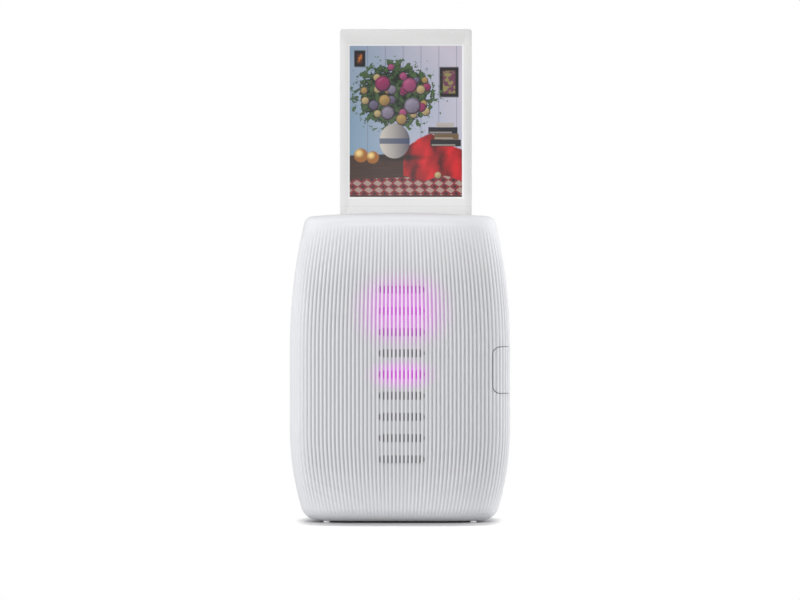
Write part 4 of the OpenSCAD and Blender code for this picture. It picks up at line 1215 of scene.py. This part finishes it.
def blossom_layer(tree, flat, scene, scale, shift, left_out, ovals):
    """Round blossoms, each whole, with darker rims and a light upper side."""
    moved = tree.node("ShaderNodeVectorMath", {"operation": "ADD"}, {0: flat, 1: (*shift, 0)})
    settings = {"voronoi_dimensions": "2D", "feature": "F1"}
    inputs = {"Vector": moved, "Scale": scale, "Randomness": 0.45}
    cells = tree.node("ShaderNodeTexVoronoi", settings, inputs)
    outputs = cells.socket.node.outputs
    away = Wire(tree, outputs["Distance"])
    pick, other, third = tree.axes(Wire(tree, outputs["Color"]))
    mid_x, mid_y, _ = tree.axes(Wire(tree, outputs["Position"]))
    here_x, here_y, _ = tree.axes(moved)
    zones = []
    for (zone_u, zone_v), half in ovals:
        zones.append(oval_away(mid_x, mid_y, (zone_u + shift[0], zone_v + shift[1]), half) < 1)
    size = 0.27 + other * 0.09
    disc = 1 - (away - size).soft_step(-0.02, 0.02)
    ramp = tree.node("ShaderNodeValToRGB", {"stops": BLOSSOM_COLOURS}, {0: pick})
    ramp.socket.node.color_ramp.interpolation = "CONSTANT"
    lit = ((here_y - mid_y) * scale * 1.1 - (here_x - mid_x) * scale * 0.7 + 0.5).clamped()
    turn = (here_y - mid_y).math("ARCTAN2", here_x - mid_x)
    petals = ((turn * 7 + away * 22).math("SINE") * 0.5 + 0.5) * 0.35
    rim = (away - size + 0.10).soft_step(0.0, 0.10) * 0.5
    tone = tree.mix(((1 - lit) * 0.75 + petals * 0.25 + rim).clamped(), ramp, (0.035, 0.014, 0.035))
    gleam = lit.soft_step(0.66, 0.95) * (1 - away.soft_step(0.08, 0.26)) * 0.75
    tone = tree.mix(gleam, tone, (0.95, 0.90, 0.84))
    return tree.mix(disc * greatest(zones) * (third > left_out), scene, tone)


@finish({"IOR": 1.48, "Specular IOR Level": 0.25})
def print_surface(tree):
    """Front: a satin white frame, finely hatched, round the picture. Back: matt black."""
    x, y, z = tree.axes()
    u = (x - PICTURE_X[0]) / (PICTURE_X[1] - PICTURE_X[0])
    v = (z - PICTURE_Z[0]) / (PICTURE_Z[1] - PICTURE_Z[0])
    picture = inside_box(u, v, 0.0, 1.0, 0.0, 1.0, 0.001)
    rim = inside_box(u, v, -0.014, 1.014, -0.010, 1.010, 0.003)
    haze = tree.noise(90, 3, 0.5)
    hatch = abs(((x + z) / HATCH_STEP).math("FRACT") - 0.5).soft_step(0.22, 0.42)
    cross = abs(((x - z) / HATCH_STEP).math("FRACT") - 0.5).soft_step(0.30, 0.5)
    ends = (1 - v.soft_step(-0.12, 0.0)) + v.soft_step(1.0, 1.08)
    paper = tree.mix(haze, (0.835, 0.835, 0.83), (0.865, 0.865, 0.86))
    hatched = (hatch * 0.7 + cross * 0.3) * (0.2 + ends * 0.4)
    paper = tree.mix(hatched, paper, (0.46, 0.46, 0.465))
    # Painted shade: a darker line along the fold across the frame's foot
    fold = 1 - abs(z - PICTURE_Z[0] + FOLD_BELOW).soft_step(0.0, FOLD_WIDTH)
    paper = tree.mix(fold * 0.25, paper, (0.60, 0.60, 0.62))
    front = tree.mix(rim, paper, (0.93, 0.93, 0.94))
    front = tree.mix(picture, front, still_life(tree, u, v))
    back = y > (PRINT_LOW[1] + PRINT_HIGH[1]) / 2 + BACK_BEHIND
    back_grain = tree.noise(2600, 3, 0.6)
    dark = tree.mix(back_grain, (0.012, 0.012, 0.014), (0.03, 0.03, 0.033))
    height = (1 - hatch * 0.6) * (1 - picture) + back_grain * 0.2
    return {"Base Color": tree.mix(back, front, dark),
            "Roughness": 0.46 - picture * 0.12 + haze * 0.06 + back * 0.16,
            "Normal": relief(tree, height, 12, 0.5)}


# ---------------------------------------------------------------- round buttons and feet
# Faces of a round cap, round it and from end to end
CAP_TURNS = 49
CAP_ROWS = 25
# Points of a cap this near to each other are one, its radius being 1
SAME_CAP_POINT = 1e-4
# How square a cap's edge is: a lower power makes a smaller rounding
FOOT_EDGE = 0.22
BUTTON_EDGE = 0.16
FOOT_R = 1.2 * MM
# The side buttons' flanges: their thickness, and how far they stand out round each cap
FLANGE_THICK = 0.6 * MM
FLANGE_OUT = {
    "power_button": 0.4 * MM,
    "function_button": 0.4 * MM,
    "reset_button": 0.6 * MM,
}


def caps_tree(name, caps, edge):
    """Geometry nodes for soft-edged round caps, each with a middle, an axis, a radius and a length."""
    tree, size = start_tree(name, (
        ("Turns", "Int", CAP_TURNS),
        ("Rows", "Int", CAP_ROWS),
        ("Edge power", "Float", edge),
    ))
    grid = tree.node("GeometryNodeMeshGrid", {}, {0: 1, 1: 1, 2: size["Turns"], 3: size["Rows"]})
    across, up, _ = tree.axes(tree.node("GeometryNodeInputPosition"))
    turn = across * (2 * math.pi)
    rise = up * math.pi
    out = (rise.math("COSINE")).math("MAXIMUM", 0) ** size["Edge power"]
    lift = rise.math("SIGN") * abs(rise.math("SINE")) ** size["Edge power"]
    round_place = {0: out * turn.math("COSINE"), 1: out * turn.math("SINE"), 2: lift}
    unit = tree.node("ShaderNodeCombineXYZ", {}, round_place)
    cap = tree.node("GeometryNodeSetPosition", {}, {"Geometry": grid, "Position": unit})
    cap = tree.node("GeometryNodeMergeByDistance", {}, {"Geometry": cap, "Distance": SAME_CAP_POINT})
    joined = tree.group.nodes.new("GeometryNodeJoinGeometry")
    for middle, axis, radius, length in caps:
        turned = (0, math.pi / 2, 0) if axis == "X" else (0, 0, 0)
        inputs = {"Geometry": cap, "Translation": middle, "Rotation": turned,
                  "Scale": (radius, radius, length / 2)}
        placed = tree.node("GeometryNodeTransform", {}, inputs)
        tree.group.links.new(placed.socket, joined.inputs[0])
    return end_tree(tree, Wire(tree, joined.outputs[0]))


def make_caps(name, node, body, caps, edge, materials):
    """Round caps as one piece that stands for a CAD node."""
    made = grown_object(name, caps_tree(name + "_tree", caps, edge))
    form = bmesh.new()
    form.from_mesh(made.data)
    bmesh.ops.recalc_face_normals(form, faces=form.faces)
    form.to_mesh(made.data)
    form.free()
    shade(made, angle=60)
    dress(made, node, body, materials)
    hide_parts(node)


def make_feet(materials):
    low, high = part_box("feet")
    caps = []
    for x in (low[0] + FOOT_R, high[0] - FOOT_R):
        for y in (low[1] + FOOT_R, high[1] - FOOT_R):
            caps.append(((x, y, (low[2] + high[2]) / 2), "Z", FOOT_R, high[2] - low[2]))
    make_caps("round_feet", "feet", "casing", caps, FOOT_EDGE, materials)


def make_side_buttons(materials):
    """Domed caps of the side buttons, each with the flange that keeps it in the casing."""
    for node, flange_out in FLANGE_OUT.items():
        low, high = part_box(node)
        mid_x, mid_y, mid_z = [(low[axis] + high[axis]) / 2 for axis in range(3)]
        flange_r = (high[1] - low[1]) / 2
        cap = ((mid_x, mid_y, mid_z), "X", flange_r - flange_out, high[0] - low[0])
        flange = ((low[0] + FLANGE_THICK / 2, mid_y, mid_z), "X", flange_r, FLANGE_THICK)
        make_caps(node + "_cap", node, node + "_body", (cap, flange), BUTTON_EDGE, materials)


# Springs that their joints press: the body they ride on, the joint, the axis, which corner of their
# box is held (0 the lowest, 1 the highest), and the length left at the joint's limit
PRESSED_SPRINGS = {
    "latch_spring": ("film_door_body", "door_latch_slide", (1, 0, 0), 0, 0.07 * MM),
    "claw_spring": ("casing", "film_claw_slide", (0, 0, 1), 1, 4.15 * MM),
}


def make_springs(materials):
    """Coils of the pressed springs, each riding on its body."""
    for node, (body, joint, axis, held, left) in PRESSED_SPRINGS.items():
        made = shade(cad_copy(node))
        made.name = node + "_coil"
        dress(made, node, body, materials)
        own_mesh(made)
        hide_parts(node)


def paint_nodes(materials):
    """Gives every CAD node that shows its finish."""
    for node, made in frame["nodes"].items():
        if not made.hide_render:
            paint(made, materials[SLOTS[node]])


# ---------------------------------------------------------------- camera, light and floor
# Camera: its height, the width that it sees at the object, and how far away it stands; its sensor
# is in millimetres
VIEW_HEIGHT = 90.6 * MM
VIEW_WIDTH = 327.3 * MM
CAMERA_AWAY = 2.0
SENSOR = 36.0


def make_camera():
    lens = bpy.data.cameras.new("camera")
    lens.sensor_width = SENSOR
    lens.lens = SENSOR * CAMERA_AWAY / VIEW_WIDTH
    made = bpy.data.objects.new("camera", lens)
    made.location = (0, -CAMERA_AWAY, VIEW_HEIGHT)
    made.rotation_euler = (math.pi / 2, 0, 0)
    bpy.context.scene.collection.objects.link(made)
    bpy.context.scene.camera = made


# Lamps: place, size, watts, and whether glossy faces mirror them; the point they all face
LAMPS = {
    "side": ((-1.4, -0.35, 0.22), 0.8, 10.6, False),
    "front": ((0.0, -1.3, 0.6), 0.8, 6.7, True),
    "over": ((0.0, -0.35, 1.5), 0.8, 2.5, True),
    "rim": ((1.3, 0.30, 0.22), 0.6, 12.6, False),
}
LAMP_TARGET = (0, 0, 0.08)


def make_lamp(name, place, size, watts, mirrored):
    """A round soft lamp; one that isn't mirrored leaves no bright spot on glossy faces."""
    lamp = bpy.data.lights.new(name, "AREA")
    lamp.shape = "DISK"
    lamp.size = size
    lamp.energy = watts
    made = bpy.data.objects.new(name, lamp)
    made.location = place
    aim = Vector(LAMP_TARGET) - Vector(place)
    made.rotation_euler = aim.to_track_quat("-Z", "Y").to_euler()
    made.visible_glossy = mirrored
    bpy.context.scene.collection.objects.link(made)


def light_paths(tree):
    """Masks of the rays that come from the camera, from gloss and through clear things."""
    names = ("Is Camera Ray", "Is Glossy Ray", "Is Transmission Ray")
    return [tree.node("ShaderNodeLightPath", output=name) for name in names]


# Strength of the room's light, and of the room as it is mirrored in the casing; seen by the
# camera, itself or through clear things, the room is white
ROOM_LIGHT = 0.42
ROOM_SHEEN = 0.70


def make_light():
    for name, lamp in LAMPS.items():
        make_lamp(name, *lamp)
    world = bpy.data.worlds.new("room")
    bpy.context.scene.world = world
    world.use_nodes = True
    world.node_tree.nodes.clear()
    tree = Nodes(world.node_tree)
    shown, mirrored, through = light_paths(tree)
    strength = ROOM_LIGHT + shown.math("MAXIMUM", through) * (1 - ROOM_LIGHT)
    strength = strength + mirrored * (ROOM_SHEEN - ROOM_LIGHT)
    back = tree.node("ShaderNodeBackground", {}, {"Color": (1, 1, 1, 1), "Strength": strength})
    tree.node("ShaderNodeOutputWorld", {}, {"Surface": back})


FLOOR_REACH = 3.0
FLOOR_SIDES = 64
# Squarish ovals round the casing's foot, 1 being its own width: the floor is in full shadow within
# the first, gives off light of its own from the second on, is its own colour from the third on,
# and is plain white past the last
SHADOW_OVALS = (0.48, 0.8, 1.0, 1.25)
# The ovals' depth, as a share of the casing's, and the power of their outline
SHADOW_DEPTH = 2.8
SHADOW_POWER = 4
SHADOW_COLOUR = (0.46, 0.46, 0.47)
# The light that the floor gives off past the shadow, towards the camera
FLOOR_LIFT = (0.42, 0.42, 0.42)
# How pale the floor is for the light that it throws back at the object
FLOOR_BOUNCE = (0.42, 0.42, 0.42)


def floor_paper():
    """Pale paper that keeps the shadow near the object and runs into the white background."""
    material, tree = new_material("floor_paper")
    white = tree.node("ShaderNodeEmission", {}, {"Color": (1, 1, 1, 1), "Strength": 1.0})
    x, y, _ = tree.axes()
    across = x / BODY_HALF_W
    along = y / (BODY_HALF_D * SHADOW_DEPTH)
    away = (across ** SHADOW_POWER + along ** SHADOW_POWER) ** (1 / SHADOW_POWER)
    seen, mirrored, through = light_paths(tree)
    shown = seen.math("MAXIMUM", mirrored).math("MAXIMUM", through)
    core, near, clear, far = SHADOW_OVALS
    colour = tree.mix(tree.noise(120), (0.90, 0.90, 0.905), (0.93, 0.93, 0.935))
    colour = tree.mix(away.soft_step(core, clear), SHADOW_COLOUR, colour)
    lift = tree.mix(away.soft_step(near, clear) * shown, BLACK, FLOOR_LIFT)
    inputs = {"Base Color": tree.mix(shown, FLOOR_BOUNCE, colour), "Roughness": 0.75,
              "Emission Color": lift, "Emission Strength": 1.0}
    paper = tree.node("ShaderNodeBsdfPrincipled", {}, inputs)
    share = away.soft_step(clear, far) * shown
    surface = tree.node("ShaderNodeMixShader", {}, {0: share, 1: paper, 2: white})
    tree.node("ShaderNodeOutputMaterial", {}, {"Surface": surface})
    return material


def make_floor():
    mesh = bpy.data.meshes.new("floor")
    turns = [k * 2 * math.pi / FLOOR_SIDES for k in range(FLOOR_SIDES)]
    ring = [(FLOOR_REACH * math.cos(turn), FLOOR_REACH * math.sin(turn), 0) for turn in turns]
    mesh.from_pydata(ring, [], [tuple(range(FLOOR_SIDES))])
    mesh.materials.append(floor_paper())
    new_object("floor", mesh)


def main():
    bpy.context.scene.view_settings.view_transform = "Standard"
    make_camera()
    make_light()
    make_floor()
    materials = {slot: build() for slot, build in FINISHES.items()}
    make_casing(materials)
    make_print()
    make_feet(materials)
    make_side_buttons(materials)
    make_springs(materials)
    paint_nodes(materials)


main()
